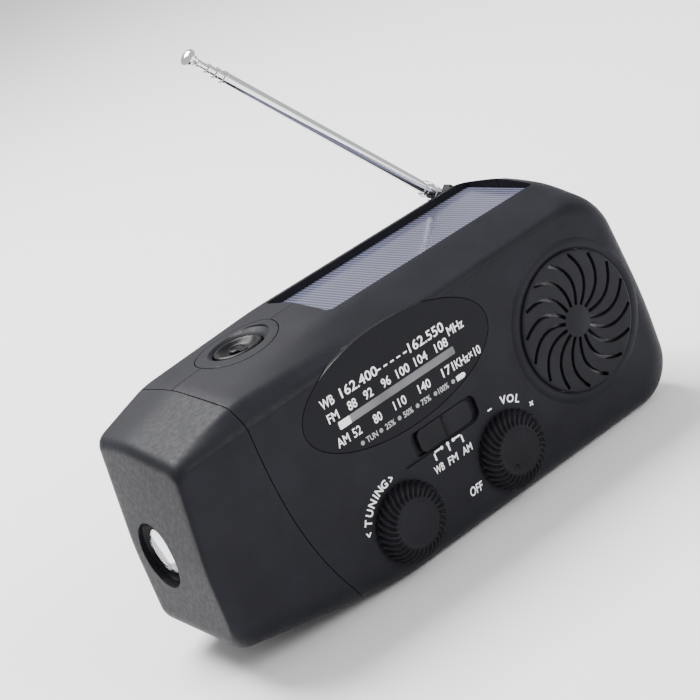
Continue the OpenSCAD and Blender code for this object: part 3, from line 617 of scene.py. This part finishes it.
def case_openings():
    """Cutters for every recess and hole in the shells."""
    cuts = recesses("cut_")
    cuts.append(rod("cut_speaker", SPEAKER.x, SPEAKER.z, GRILLE_R + 0.03, -FAR, Y_FRONT + WALL + 1, 160))
    cuts.append(prism("cut_dial", oval(0.13), -FAR, Y_FRONT + 1.2))
    cuts.append(prism("cut_dial_back", oval(-1.6), -FAR, Y_FRONT + 6))
    for node in ("tuning_knob", "volume_knob"):
        cuts.append(rod("cut_" + node, middle(node).x, middle(node).z, 3.2, -FAR, Y_FRONT + 5))
    left, right = SLIDER.x - SWITCH_A, SLIDER.x + SWITCH_A
    bottom, top = SLIDER.z - SWITCH_B, SLIDER.z + SWITCH_B
    cuts.append(prism("cut_switch", rounded_box(left, bottom, right, top, 1.7), -FAR, Y_FRONT + 1.3))
    line = rounded_box(left - 3.4, bottom - 0.35, right - 1.5, bottom + 0.5, 0.2)
    cuts.append(prism("cut_switch_line", line, -FAR, Y_FRONT + 0.45))
    for floor, radius in ((RING_LOW, RING_R + 0.13), (RING_LOW - 18, BUTTON_R + 1)):
        cuts.append(post("cut_button", (BUTTON.x, BUTTON.y, floor), UP, radius, 40))
    r = TORCH_R
    cuts.append(lathe("cut_torch", [(0, -8), (r + 0.9, -8), (r + 0.9, 0.2), (r, 1.1), (r, 8), (0, 8)],
                      (-X_END, TORCH.y, TORCH.z), INWARD, None, 128))
    cuts.append(block("cut_ports", (X_END - 5, FLAP_LOW.y - 0.3, FLAP_LOW.z - 0.3),
                      (X_END + 5, FLAP_HIGH.y + 0.5, FLAP_HIGH.z + 0.3)))
    cuts.append(rod("cut_pivot", SWING.x, SWING.z, 2.3, GROOVE_Y - 3, FAR))
    cuts.append(rod("cut_crank", DISH.x, DISH.z, 2.1, DISH_FLOOR - 3, FAR))
    for x, z in screw_places():
        cuts.append(rod("cut_screw", x, z, 2.5, Y_BACK - 6, FAR))
    return cuts


def cap_side(name, shift):
    """Everything on the torch side of the cap's seam, which runs down and then curves away along the base."""
    bend, steps = 13, 16
    seam = [(X_CAP, FAR), (X_CAP, CREASE)]
    seam += [(X_CAP + bend * f ** 3, CREASE * (1 - f) - f) for f in [i / steps for i in range(1, steps + 1)]]
    outline = [(x + shift, z) for x, z in seam]
    return prism(name, outline + [(X_CAP + bend + shift, -FAR), (-FAR, -FAR), (-FAR, FAR)], -FAR, FAR)


def build_case():
    """Three shells with real walls, the torch cap and the front and rear halves, and the button's ring."""
    front = case_body("front_case_shell")
    hollow = hollow_space()
    boolean(front, [speaker_rim()], "UNION")
    flush_ring(copy_of(front, "button_bezel"))
    boolean(front, [hollow])
    boolean(front, case_openings())
    cap = copy_of(front, "torch_cap_shell")
    rear = copy_of(front, "rear_case_shell")
    boolean(cap, [cap_side("cap_keep", -SEAM)], "INTERSECT")
    for shell, lo, hi in ((front, -FAR, PART_Y - SEAM), (rear, PART_Y + SEAM, FAR)):
        boolean(shell, [block("half", (-FAR, lo, -FAR), (FAR, hi, FAR))], "INTERSECT")
        boolean(shell, [cap_side("cap_cut", SEAM)])
    for shell, node in ((front, "front_case"), (rear, "rear_case"), (cap, "torch_cap")):
        soften(shell, 0.22, 2, CASE)
        place(shell, "case", "black_plastic", node)


def screw_places():
    """Centres of the screw heads as (x, z), found from the rearmost points of the screws."""
    limit = high("case_screws").y - 0.01
    points = [v.co / MM for v in frame["nodes"]["case_screws"].data.vertices if v.co.y / MM > limit]
    heads = []
    for p in points:
        for head in heads:
            if math.hypot(head[0].x - p.x, head[0].z - p.z) < 6:
                head.append(p)
                break
        else:
            heads.append([p])

    def centre(values):
        return (min(values) + max(values)) / 2

    return [(centre([p.x for p in head]), centre([p.z for p in head])) for head in heads]


# ---------- front pieces ----------
def ribbed_knob(name, node, body, dimple):
    """A knob with swept ribs on its flank round a flat top, sunk by `dip`, and a dimple if it has one."""
    ribs, per_rib, top_r, dip = 32, 10, 5.3, 0.12
    centre = middle(node)
    base_r = (high(node).x - low(node).x) / 2
    height = Y_FRONT - low(node).y
    count = ribs * per_rib
    radii = [0.0, 2.0, 4.0, top_r - 0.35, top_r - 0.1]
    radii += [top_r + (base_r - top_r) * (i / 16) for i in range(17)]
    verts, rings = [], []

    def point(r, angle, lift):
        return (centre.x + r * math.cos(angle), Y_FRONT - lift, centre.z + r * math.sin(angle))

    for r in radii:
        if r == 0:
            rings.append([0] * count)
            verts.append(point(0, 0, height - dip))
            continue
        f = max(0.0, (r - top_r) / (base_r - top_r))
        ring = []
        for i in range(count):
            angle = 2 * math.pi * i / count
            wave = math.cos(ribs * (angle + 0.3 * f * f))
            valley = 0.5 - 0.5 * math.copysign(abs(wave) ** 0.55, wave)
            depth = 0.85 * smooth(f * 4) * valley
            lift = max(0.2, height - (height - 0.9) * f ** 2.3 - depth)
            if r <= top_r:
                lift = height - (dip if r < top_r - 0.2 else 0.0)
            edge = r - 0.75 * f ** 5 * valley
            ring.append(len(verts))
            verts.append(point(edge, angle, lift))
        rings.append(ring)
    for r, lift in ((base_r - 0.25, 0.15), (3.1, 0.15), (3.1, -4.0)):
        rings.append([len(verts) + i for i in range(count)])
        verts += [point(r, 2 * math.pi * i / count, lift) for i in range(count)]
    faces = []
    for a, b in zip(rings, rings[1:]):
        for i in range(count):
            k = (i + 1) % count
            face = (a[i], a[k], b[k], b[i]) if a[0] != a[1] else (a[0], b[k], b[i])
            faces.append(face)
    faces.append(tuple(rings[-1]))
    knob = new_object(name, verts, faces, KNOB, 50)
    if dimple:
        dent = lathe("dent", [(0, -1), (0.85, -1), (0.85, 0.15), (0.5, 0.4), (0, 0.5)],
                     (centre.x - 2.3, Y_FRONT - height + dip, centre.z - 3.0), BACKWARD, None, 32)
        boolean(knob, [dent])
        knob.data.shade_smooth()
        knob.data.set_sharp_from_angle(angle=math.radians(50))
    place(knob, body, "black_plastic", node)


def swirl_slot(turn, name):
    """One curved slot of the speaker disc, as a cutter."""
    inner, outer, sweep, bulge, half, steps = 3.7, GRILLE_R - 0.75, math.radians(25), 2.8, 0.42, 16
    a = Vector((inner, 0))
    b = Vector((math.cos(sweep), math.sin(sweep))) * outer
    chord = b - a
    side = Vector((chord.y, -chord.x)).normalized()
    line = [a + chord * t + side * (4 * bulge * t * (1 - t)) for t in [i / steps for i in range(steps + 1)]]
    left, right = [], []
    for i, p in enumerate(line):
        q = line[min(i + 1, steps)] - line[max(i - 1, 0)]
        across = Vector((-q.y, q.x)).normalized() * half
        left.append(p + across)
        right.append(p - across)
    c, s = math.cos(turn), math.sin(turn)
    outline = [(SPEAKER.x + p.x * c - p.y * s, SPEAKER.z + p.x * s + p.y * c) for p in left + right[::-1]]
    return prism(name, outline, Y_FRONT - 3, Y_FRONT + 3)


def speaker():
    """The domed disc with its swirl of slots round a plain hub."""
    r, hub, slots = GRILLE_R, 3.2, 16
    profile = [(0, 1.7), (r - 0.05, 1.7), (r - 0.05, 0.35), (r - 0.25, 0.12), (r - 0.6, 0.02)]
    profile += [(r * f, 0.25 * (1 - f * f)) for f in (0.85, 0.7, 0.55, 0.4, 0.25)]
    profile += [(hub, 0.22), (hub - 0.3, 0.12), (0, 0.12)]
    at = (SPEAKER.x, low("speaker_grille").y, SPEAKER.z)
    disc = lathe("speaker_disc", profile, at, BACKWARD, GRILLE, 160)
    boolean(disc, [swirl_slot(2 * math.pi * (i + 0.35) / slots, "slot_cut") for i in range(slots)])
    soften(disc, 0.12, 2, GRILLE)
    place(disc, "case", "black_plastic", "speaker_grille")


def dial():
    """The smoked pane, and the scale bar and its pointer on it."""
    window = prism("dial_pane", oval(0), Y_FRONT, Y_FRONT + 1.2)
    soften(window, 0.15, 2, SMOKED)
    place(window, "case", "dial_gloss", "dial_window")
    start, end, half = DIAL.x - 18.2, DIAL.x + 15.5, 0.9
    bar = rounded_box(start, BAND_Z - half, end, BAND_Z + half, 0.3)
    bar = prism("scale_bar", bar, Y_FRONT - 0.02, Y_FRONT + SUNK, "y", BAR)
    place(bar, "case", "dial_grey")
    pointer = rounded_box(start + 0.1, BAND_Z - half, start + 3.3, BAND_Z + half, 0.3)
    pointer = prism("scale_pointer", pointer, Y_FRONT - 0.05, Y_FRONT + SUNK, "y", PRINT)
    place(pointer, "pointer", "white_plastic")


def label(name, text, x, z, height, material=PRINT, turn=0.0, width=None, lean=0.0, heavy=0.0):
    """A printed label, generic figures and words, centred on (x, z) and fitted to a height and a width."""
    curve = bpy.data.curves.new(name, "FONT")
    curve.body = text
    curve.align_x, curve.align_y = "CENTER", "CENTER"
    curve.size = 1.0
    curve.offset = 0.012 + heavy
    curve.extrude = 0.0
    curve.shear = lean
    curve.resolution_u = 3
    temp = bpy.data.objects.new(name + "_curve", curve)
    bpy.context.scene.collection.objects.link(temp)
    mesh = shape_now(temp)
    bpy.data.objects.remove(temp)
    xs = [v.co.x for v in mesh.vertices]
    zs = [v.co.y for v in mesh.vertices]
    mid = ((min(xs) + max(xs)) / 2, (min(zs) + max(zs)) / 2)
    sz = height / (max(zs) - min(zs))
    sx = width / (max(xs) - min(xs)) if width else sz
    c, s = math.cos(turn), math.sin(turn)
    for v in mesh.vertices:
        a, b = (v.co.x - mid[0]) * sx, (v.co.y - mid[1]) * sz
        v.co = Vector((x + a * c - b * s, Y_FRONT - PROUD, z + a * s + b * c)) * MM
    bm = bmesh.new()
    bm.from_mesh(mesh)
    bmesh.ops.remove_doubles(bm, verts=bm.verts, dist=1e-7)
    back = bmesh.ops.extrude_face_region(bm, geom=list(bm.faces))
    moved = [g for g in back["geom"] if isinstance(g, bmesh.types.BMVert)]
    bmesh.ops.translate(bm, vec=(0, (PROUD + SUNK) * MM, 0), verts=moved)
    bm.to_mesh(mesh)
    bm.free()
    place(finish_mesh(name, mesh, material, 30), "case", "white_plastic")


def mark(name, points, thick):
    """A printed line through (x, z) points."""
    verts, faces = [], []
    for (x0, z0), (x1, z1) in zip(points, points[1:]):
        d = Vector((x1 - x0, z1 - z0)).normalized() * thick / 2
        n = Vector((-d.y, d.x))
        base = len(verts)
        for y in (Y_FRONT - PROUD, Y_FRONT + SUNK):
            verts += [(x0 - d.x + n.x, y, z0 - d.y + n.y), (x0 - d.x - n.x, y, z0 - d.y - n.y),
                      (x1 + d.x - n.x, y, z1 + d.y - n.y), (x1 + d.x + n.x, y, z1 + d.y + n.y)]
        faces += [tuple(base + i for i in f) for f in
                  ((0, 1, 2, 3), (7, 6, 5, 4), (0, 4, 5, 1), (1, 5, 6, 2), (2, 6, 7, 3), (3, 7, 4, 0))]
    place(new_object(name, verts, faces, PRINT), "case", "white_plastic")


def dot(name, x, z, profile, material, slot, segments):
    """A small round mark on the dial face."""
    place(lathe(name, profile, (x, Y_FRONT, z), BACKWARD, material, segments), "case", slot)


def dial_labels():
    """The dial's figures, placed from the middle of the window."""
    x0, z0 = DIAL.x + 6.7, DIAL.z
    upper, unit, second, fourth, lamp = z0 + 3.6, z0 + 1.8, z0 + 0.1, z0 - 5.7, z0 - 8.7
    label("print_band_1", "WB", x0 - 25.3, upper, 2.2, width=3.6)
    label("print_low_channel", "162.400", x0 - 16.4, upper, 2.3, width=10.4)
    for i in range(5):
        x = x0 - 10.7 + 1.9 * i
        mark(f"print_dash_{i}", [(x - 0.35, upper - 0.3), (x + 0.35, upper - 0.3)], 0.35)
    label("print_high_channel", "162.550", x0 + 3.2, upper, 2.3, width=10.2)
    label("print_unit_1", "MHz", x0 + 11.1, unit, 2.1, width=4.6)
    label("print_band_2", "FM", x0 - 25.3, second, 2.1, width=2.9)
    fm = (("88", -19.9), ("92", -15.3), ("96", -10.2), ("100", -5.3), ("104", 0.0), ("108", 6.1))
    for i, (text, x) in enumerate(fm):
        label(f"print_fm_{i}", text, x0 + x, second, 2.1, width=1.2 * len(text))
    label("print_band_3", "AM", x0 - 25.2, fourth, 2.1, width=3.3)
    am = (("52", -21.3), ("80", -15.4), ("110", -8.9), ("140", -1.7), ("171", 5.4))
    for i, (text, x) in enumerate(am):
        label(f"print_am_{i}", text, x0 + x, fourth, 2.1, width=1.15 * len(text))
    label("print_unit_2", "KHz×10", x0 + 11.4, fourth, 2.1, width=7.6)
    lamps = (("TUN", 3.1), ("25%", 2.7), ("50%", 2.7), ("75%", 2.7), ("100%", 3.0))
    for i, (text, width) in enumerate(lamps):
        label(f"print_lamp_{i}", text, x0 - 18.4 + 5.25 * i, lamp, 1.35, DIM_PRINT, width=width)
    bead = [(0, 0), (0.45, 0), (0.5, -0.03), (0, -0.05)]
    for i in range(6):
        dot(f"lamp_dot_{i}", x0 - 21.1 + 5.33 * i, lamp, bead, LED_LENS, "clear", 24)
    battery = rounded([
        (x0 + 6.6, lamp - 0.6, 0.2), (x0 + 8.7, lamp - 0.6, 0.2), (x0 + 9.2, lamp - 0.25, 0.1),
        (x0 + 9.2, lamp + 0.25, 0.1), (x0 + 8.7, lamp + 0.6, 0.2), (x0 + 6.6, lamp + 0.6, 0.2)], 3)
    battery = prism("print_battery", battery, Y_FRONT - PROUD, Y_FRONT + SUNK, "y", PRINT)
    place(battery, "case", "white_plastic")


def switch_labels():
    """Band names under the slider, with a bracket or a tick at each of its three stops."""
    x, z = SLIDER.x, SLIDER.z - SWITCH_B - 0.55
    for i, (text, dx, width) in enumerate((("WB", -5.3, 2.7), ("FM", -1.2, 2.9), ("AM", 3.1, 2.9))):
        label(f"print_switch_{i}", text, x + dx, z - 4.0, 1.8, width=width, lean=0.1)
    mark("print_bracket_left", [(x - 5.2, z - 1.9), (x - 5.2, z - 0.2), (x - 2.9, z - 0.2)], 0.42)
    mark("print_bracket_right", [(x + 0.6, z - 0.2), (x + 2.9, z - 0.2), (x + 2.9, z - 1.9)], 0.42)
    mark("print_tick", [(x - 1.1, z - 1.8), (x - 1.1, z - 0.2)], 0.42)
    stop = [(0, 0.02), (0.42, 0.02), (0.42, -0.035), (0, -0.035)]
    for i, dx in enumerate((-2.9, -1.1, 0.6)):
        dot(f"print_stop_{i}", x + dx, z - 0.25, stop, PRINT, "white_plastic", 20)


def knob_labels():
    """Letters on arcs round the two knobs, each upright on its own radius."""
    tuning, volume = middle("tuning_knob"), middle("volume_knob")

    def on_arc(centre, radius, degrees):
        a = math.radians(degrees)
        return centre.x + radius * math.cos(a), centre.z + radius * math.sin(a), a - math.pi / 2

    letters = (("<", 164), ("T", 151), ("U", 139.5), ("N", 128.5), ("I", 120), ("N", 112.5), ("G", 103),
               (">", 92))
    for i, (text, angle) in enumerate(letters):
        x, z, turn = on_arc(tuning, 11.0, angle)
        size, width = (1.5, 0.95) if text in "<>" else (1.85, None)
        label(f"print_tuning_{i}", text, x, z, size, turn=turn, heavy=0.01, width=width)
    letters = (("V", 76.5, 1.9), ("O", 66, 1.9), ("L", 55.5, 1.9), ("+", 34, 1.3))
    for i, (text, angle, size) in enumerate(letters):
        x, z, turn = on_arc(volume, 11.4, angle)
        label(f"print_volume_{i}", text, x, z, size, turn=turn, heavy=0.01)
    x, z, _ = on_arc(volume, 11.1, 98)
    mark("print_minus", [(x - 0.4, z), (x + 0.4, z)], 0.35)
    label("print_off", "OFF", volume.x - 12.2, volume.z - 3.0, 2.1, width=3.9, lean=0.25)


def slider():
    """The band slider in its recess, and the ridge across it."""
    x, z, y = SLIDER.x, SLIDER.z, Y_FRONT + 0.05
    half_a, half_b = SWITCH_A - SLIDE - 0.15, SWITCH_B - 0.25
    outline = rounded_box(x - half_a, z - half_b, x + half_a, z + half_b, 1.5)
    plate = prism("slider_plate", outline, y, y + 1.15, "y", KNOB)
    soften(plate, 0.2, 3)
    place(plate, "band", "black_plastic", "band_slider")
    section = [(x - 0.7, y + 0.1), (x + 0.7, y + 0.1), (x + 0.18, y - 0.5), (x - 0.18, y - 0.5)]
    ridge = prism("slider_ridge", section, z - half_b + 0.35, z + half_b - 0.35, "z", KNOB)
    soften(ridge, 0.1, 3)
    place(ridge, "band", "black_plastic")


# ---------- top pieces ----------
def button():
    """The dished torch button with a raised lamp sign."""
    b, z = BUTTON_R, high("torch_button").z - 0.25
    cap = lathe("button_cap", [
        (0, -4.6), (b - 0.1, -4.6), (b - 0.1, -0.7), (b - 0.22, -0.32), (b - 0.5, -0.12), (b - 0.9, -0.1),
        (b - 1.3, -0.3), (b - 1.8, -0.75), (b * 0.5, -1.15), (b * 0.25, -1.3), (0, -1.35)],
        (BUTTON.x, BUTTON.y, z), UP, BUTTON_BLACK)
    sign = lathe("bulb_sign", [
        (0, -1.9), (1.9, -1.9), (1.9, -0.8), (1.7, -0.6), (1.45, -0.55), (1.25, -0.75), (0, -0.85)],
        (BUTTON.x, BUTTON.y + 0.7, z), UP, BUTTON_BLACK, 48)
    x, y = BUTTON.x, BUTTON.y
    stem = block("bulb_stem", (x - 0.9, y - 2.9, z - 1.9), (x + 0.9, y - 0.8, z - 0.6), 0.3)
    boolean(cap, [sign, stem], "UNION")
    soften(cap, 0.12, 2, BUTTON_BLACK)
    place(cap, "button", "black_plastic", "torch_button")


def solar():
    """The laminated solar panel and its clear cover, made as one plate."""
    cover = block("solar_glass", SOLAR_LOW, SOLAR_HIGH, 1.4)
    soften(cover, 0.12, 2, SOLAR)
    place(cover, "case", "solar_blue", "solar_cover", "solar_panel")


# ---------- torch ----------
def torch():
    """Bezel, thick domed lens and reflector bowl, turned about the torch's axis."""
    r, steps, at = TORCH_R, 12, (-X_END, TORCH.y, TORCH.z)
    bezel = lathe("torch_bezel", [
        (r - 0.06, 3.0), (r - 0.06, 6.9), (r - 1.8, 6.9), (r - 1.8, 4.9), (r - 1.5, 4.5), (r - 0.9, 4.1),
        (r - 0.4, 3.2), (r - 0.25, 3.0), (r - 0.06, 3.0)], at, INWARD, BUTTON_BLACK, 128)
    place(bezel, "case", "black_plastic", "lens_ring")
    lens = lathe("torch_glass", [
        (0, 5.9), (r - 1.85, 5.9), (r - 1.85, 4.2), (r - 2.2, 3.4), (r - 3.2, 2.7), (r - 4.6, 2.25),
        (r - 6.2, 2.05), (0, 2.0)], at, INWARD, GLASS, 96, 60)
    place(lens, "case", "clear", "torch_lens")
    inner = [(1.7 + (r - 3.2) * math.sqrt(i / steps), 15.6 - 9.6 * i / steps) for i in range(steps + 1)]
    outer = [(x + 0.35, h + 0.3) for x, h in inner]
    profile = inner + [(r - 1.2, 6.0)] + outer[::-1] + inner[:1]
    bowl = lathe("torch_bowl", profile, at, INWARD, MIRROR)
    place(bowl, "case", "chrome", "torch_reflector")


# ---------- aerial ----------
def aerial():
    """Foot, four nested tubes with rolled ends, and the ribbed tip, along the line from pin to tip."""
    pin = middle("aerial_pin")
    along = middle("aerial_tip") - pin
    along.y = 0
    total = along.length + 1.2
    knuckle = lathe("mast_foot", [
        (0, 2.2), (1.5, 2.2), (1.75, 2.5), (1.75, 3.3), (2.1, 3.5), (2.1, 4.5), (1.8, 4.7), (1.8, 5.3),
        (2.1, 5.5), (2.1, 6.6), (1.85, 6.9), (1.7, 7.6), (0, 7.6)], pin, along, CHROME, 64)
    place(knuckle, "mast", "chrome")
    wall, lip = 0.12, 0.12
    sections = (("mast", 1.5, 6.5, 10.6), ("tube_2", 1.3, 20, 8.4),
                ("tube_3", 1.08, 20, 6.2), ("tube_4", 0.86, 20, 3.4))
    for i, (body, radius, start, from_end) in enumerate(sections):
        end, bore = total - from_end, radius - wall
        tube = lathe(f"mast_tube_{i + 1}", [
            (bore, start), (radius, start), (radius, end - 0.9), (radius + lip, end - 0.75),
            (radius + lip, end - 0.15), (radius - 0.02, end), (bore - 0.02, end), (bore, end - 0.3),
            (bore, start)], pin, along, CHROME, 48)
        place(tube, body, "chrome", f"aerial_tube_{i + 1}")
    tip = lathe("mast_cap", [
        (0, total - 5.5), (0.72, total - 5.5), (0.72, total - 3.3), (1.1, total - 3.1), (1.3, total - 2.6),
        (1.05, total - 2.3), (1.5, total - 2.0), (2.05, total - 1.5), (2.1, total - 1.0), (1.7, total - 0.45),
        (0.9, total - 0.1), (0, total)], pin, along, CHROME, 48)
    place(tip, "tube_4", "chrome", "aerial_tip")


# ---------- back: crank, screws, port cover ----------
def crank():
    """The lever with its slot, and the ridged grip that folds into it."""
    reach, floor, top, z, half = -low("crank_arm").x, low("crank_arm").y, high("crank_arm").y, DISH.z, 5.5
    arm = prism("crank_lever", rounded([
        (-reach, z - half + 0.6, 3.5), (-4, z - half, 4), (4.6, z - half - 0.6, 5), (7, z, 6),
        (4.6, z + half + 0.6, 5), (-4, z + half, 4), (-reach, z + half - 0.6, 3.5)]), floor, top)
    grip_low, grip_high, mid = low("crank_handle"), high("crank_handle"), middle("crank_handle")
    opening = rounded_box(middle("crank_pin").x - 3.4, z - 2.85, grip_high.x + 0.5, z + 2.85, 1.2)
    slot = prism("lever_slot", opening, floor - 1, top + 1)
    hub = rod("hub_dish", DISH.x, z, 3.4, top - 0.5, top + 2)
    boolean(arm, [slot, hub])
    soften(arm, 0.5, 3, KNOB)
    place(arm, "crank", "black_plastic", "crank_arm")
    r, length = (grip_high.z - grip_low.z) / 2, grip_high.x - grip_low.x
    bands = int(length / 1.3)
    profile = [(1.1, 0), (r - 0.5, 0), (r - 0.1, 0.35)]
    for x in [length * i / bands for i in range(1, bands)]:
        profile += [(r, x - 0.3), (r - 0.3, x), (r, x + 0.3)]
    profile += [(r - 0.1, length - 0.35), (r - 0.5, length), (1.1, length), (1.1, 0)]
    grip = lathe("crank_grip", profile, (grip_low.x, mid.y, mid.z), INWARD, KNOB, 64, 25)
    place(grip, "handle", "black_plastic", "crank_handle")


def port_flap():
    """The soft cover of the sockets, with a nail notch and a hinge barrel."""
    lo, hi, mid = FLAP_LOW, FLAP_HIGH, (FLAP_LOW.z + FLAP_HIGH.z) / 2
    outline = [(lo.y, lo.z, 1.2), (hi.y - 0.75, lo.z, 0.4), (hi.y - 0.75, hi.z, 0.4), (lo.y, hi.z, 1.2)]
    flap = prism("port_flap", rounded(outline), hi.x - 1.3, hi.x, "x", RUBBER)
    nail = block("flap_nail", (hi.x - 0.35, lo.y - 1, mid - 3), (hi.x + 1, lo.y + 1.0, mid + 3), 0.4)
    boolean(flap, [nail])
    pin = middle("port_pin")
    barrel = post("flap_barrel", (pin.x, pin.y, lo.z), UP, 0.72, hi.z - lo.z, RUBBER, 32)
    boolean(flap, [barrel], "UNION")
    soften(flap, 0.18, 2, RUBBER)
    place(flap, "flap", "rubber", "port_cover")


# ---------- the CAD nodes that stay ----------
FINISHES = {
    "steel": STEEL, "chrome": CHROME, "board_green": BOARD, "copper": COPPER, "iron": IRON, "rubber": RUBBER,
    "black_plastic": KNOB, "inner_plastic": RUBBER, "white_plastic": WHITE, "dial_grey": SCALE,
    "dial_gloss": GLOSS, "cloth": IRON, "solar_blue": BOARD, "clear": LED_LENS, "cell_wrap": CELL_WRAP,
}
SPECIAL = {"dynamo_pinion": BRASS, "torch_led": EMITTER}


def finish_nodes():
    """Gives every CAD node the material of its slot, or its own."""
    slots = {s["node"]: s["material_slot"] for s in frame["record"]["subparts"]}
    for name, obj in frame["nodes"].items():
        paint(obj, SPECIAL.get(name) or FINISHES[slots[name]])


def photo_camera():
    """The photograph's view: a long lens from the torch side, looking down and rolled."""
    turn, lift, roll = math.radians(30.01), math.radians(19.09), math.radians(-22.32)
    distance, lens = 434.0, 106.56
    target = Vector((-15.72, Y_FRONT, 53.73))
    away = Vector((-math.sin(turn) * math.cos(lift), -math.cos(turn) * math.cos(lift), math.sin(lift)))
    right = Vector((math.cos(turn), -math.sin(turn), 0))
    up = away.cross(right)
    across = right * math.cos(roll) + up * math.sin(roll)
    above = -right * math.sin(roll) + up * math.cos(roll)
    data = bpy.data.cameras.new("camera")
    data.lens, data.sensor_width = lens, 36
    data.clip_start, data.clip_end = 0.01, 20
    camera = bpy.data.objects.new("camera", data)
    bpy.context.scene.collection.objects.link(camera)
    camera.matrix_world = Matrix((across, above, away)).transposed().to_4x4()
    camera.location = (target + away * distance) * MM
    bpy.context.scene.camera = camera


def area_light(name, at, target, size, power):
    """A square lamp; places and size in millimetres."""
    data = bpy.data.lights.new(name, "AREA")
    data.shape, data.size, data.energy, data.color = "SQUARE", size * MM, power, (1, 1, 1)
    lamp = bpy.data.objects.new(name, data)
    bpy.context.scene.collection.objects.link(lamp)
    lamp.location = Vector(at) * MM
    lamp.rotation_euler = (Vector(target) - Vector(at)).to_track_quat("-Z", "Y").to_euler()


def studio():
    """A pale floor, an even white surround and two soft lamps."""
    size = 6.0
    mesh = bpy.data.meshes.new("floor")
    corners = [(-size, -size, 0), (size, -size, 0), (size, size, 0), (-size, size, 0)]
    mesh.from_pydata(corners, [], [(0, 1, 2, 3)])
    floor = bpy.data.objects.new("floor", mesh)
    bpy.context.scene.collection.objects.link(floor)
    pale = shader("floor_white", (0.94, 0.94, 0.94), 0.6)
    vary(pale, noise(pale, 2), "Base Color", (0.94, 0.94, 0.94), (0.96, 0.96, 0.96))
    mesh.materials.append(pale)
    world = bpy.data.worlds.new("studio")
    bpy.context.scene.world = world
    world.use_nodes = True
    surround = world.node_tree.nodes["Background"].inputs
    surround["Color"].default_value = (1, 1, 1, 1)
    surround["Strength"].default_value = 0.7
    area_light("top", (-60, 450, 760), (-10, 0, 40), 520, 20)
    area_light("front", (300, -800, 600), (-20, -10, 40), 460, 7.0)


photo_camera()
studio()
finish_nodes()
build_case()
speaker()
dial()
dial_labels()
switch_labels()
knob_labels()
ribbed_knob("tuning_dial_knob", "tuning_knob", "tuning", False)
ribbed_knob("volume_dial_knob", "volume_knob", "volume", True)
slider()
button()
solar()
torch()
aerial()
crank()
port_flap()
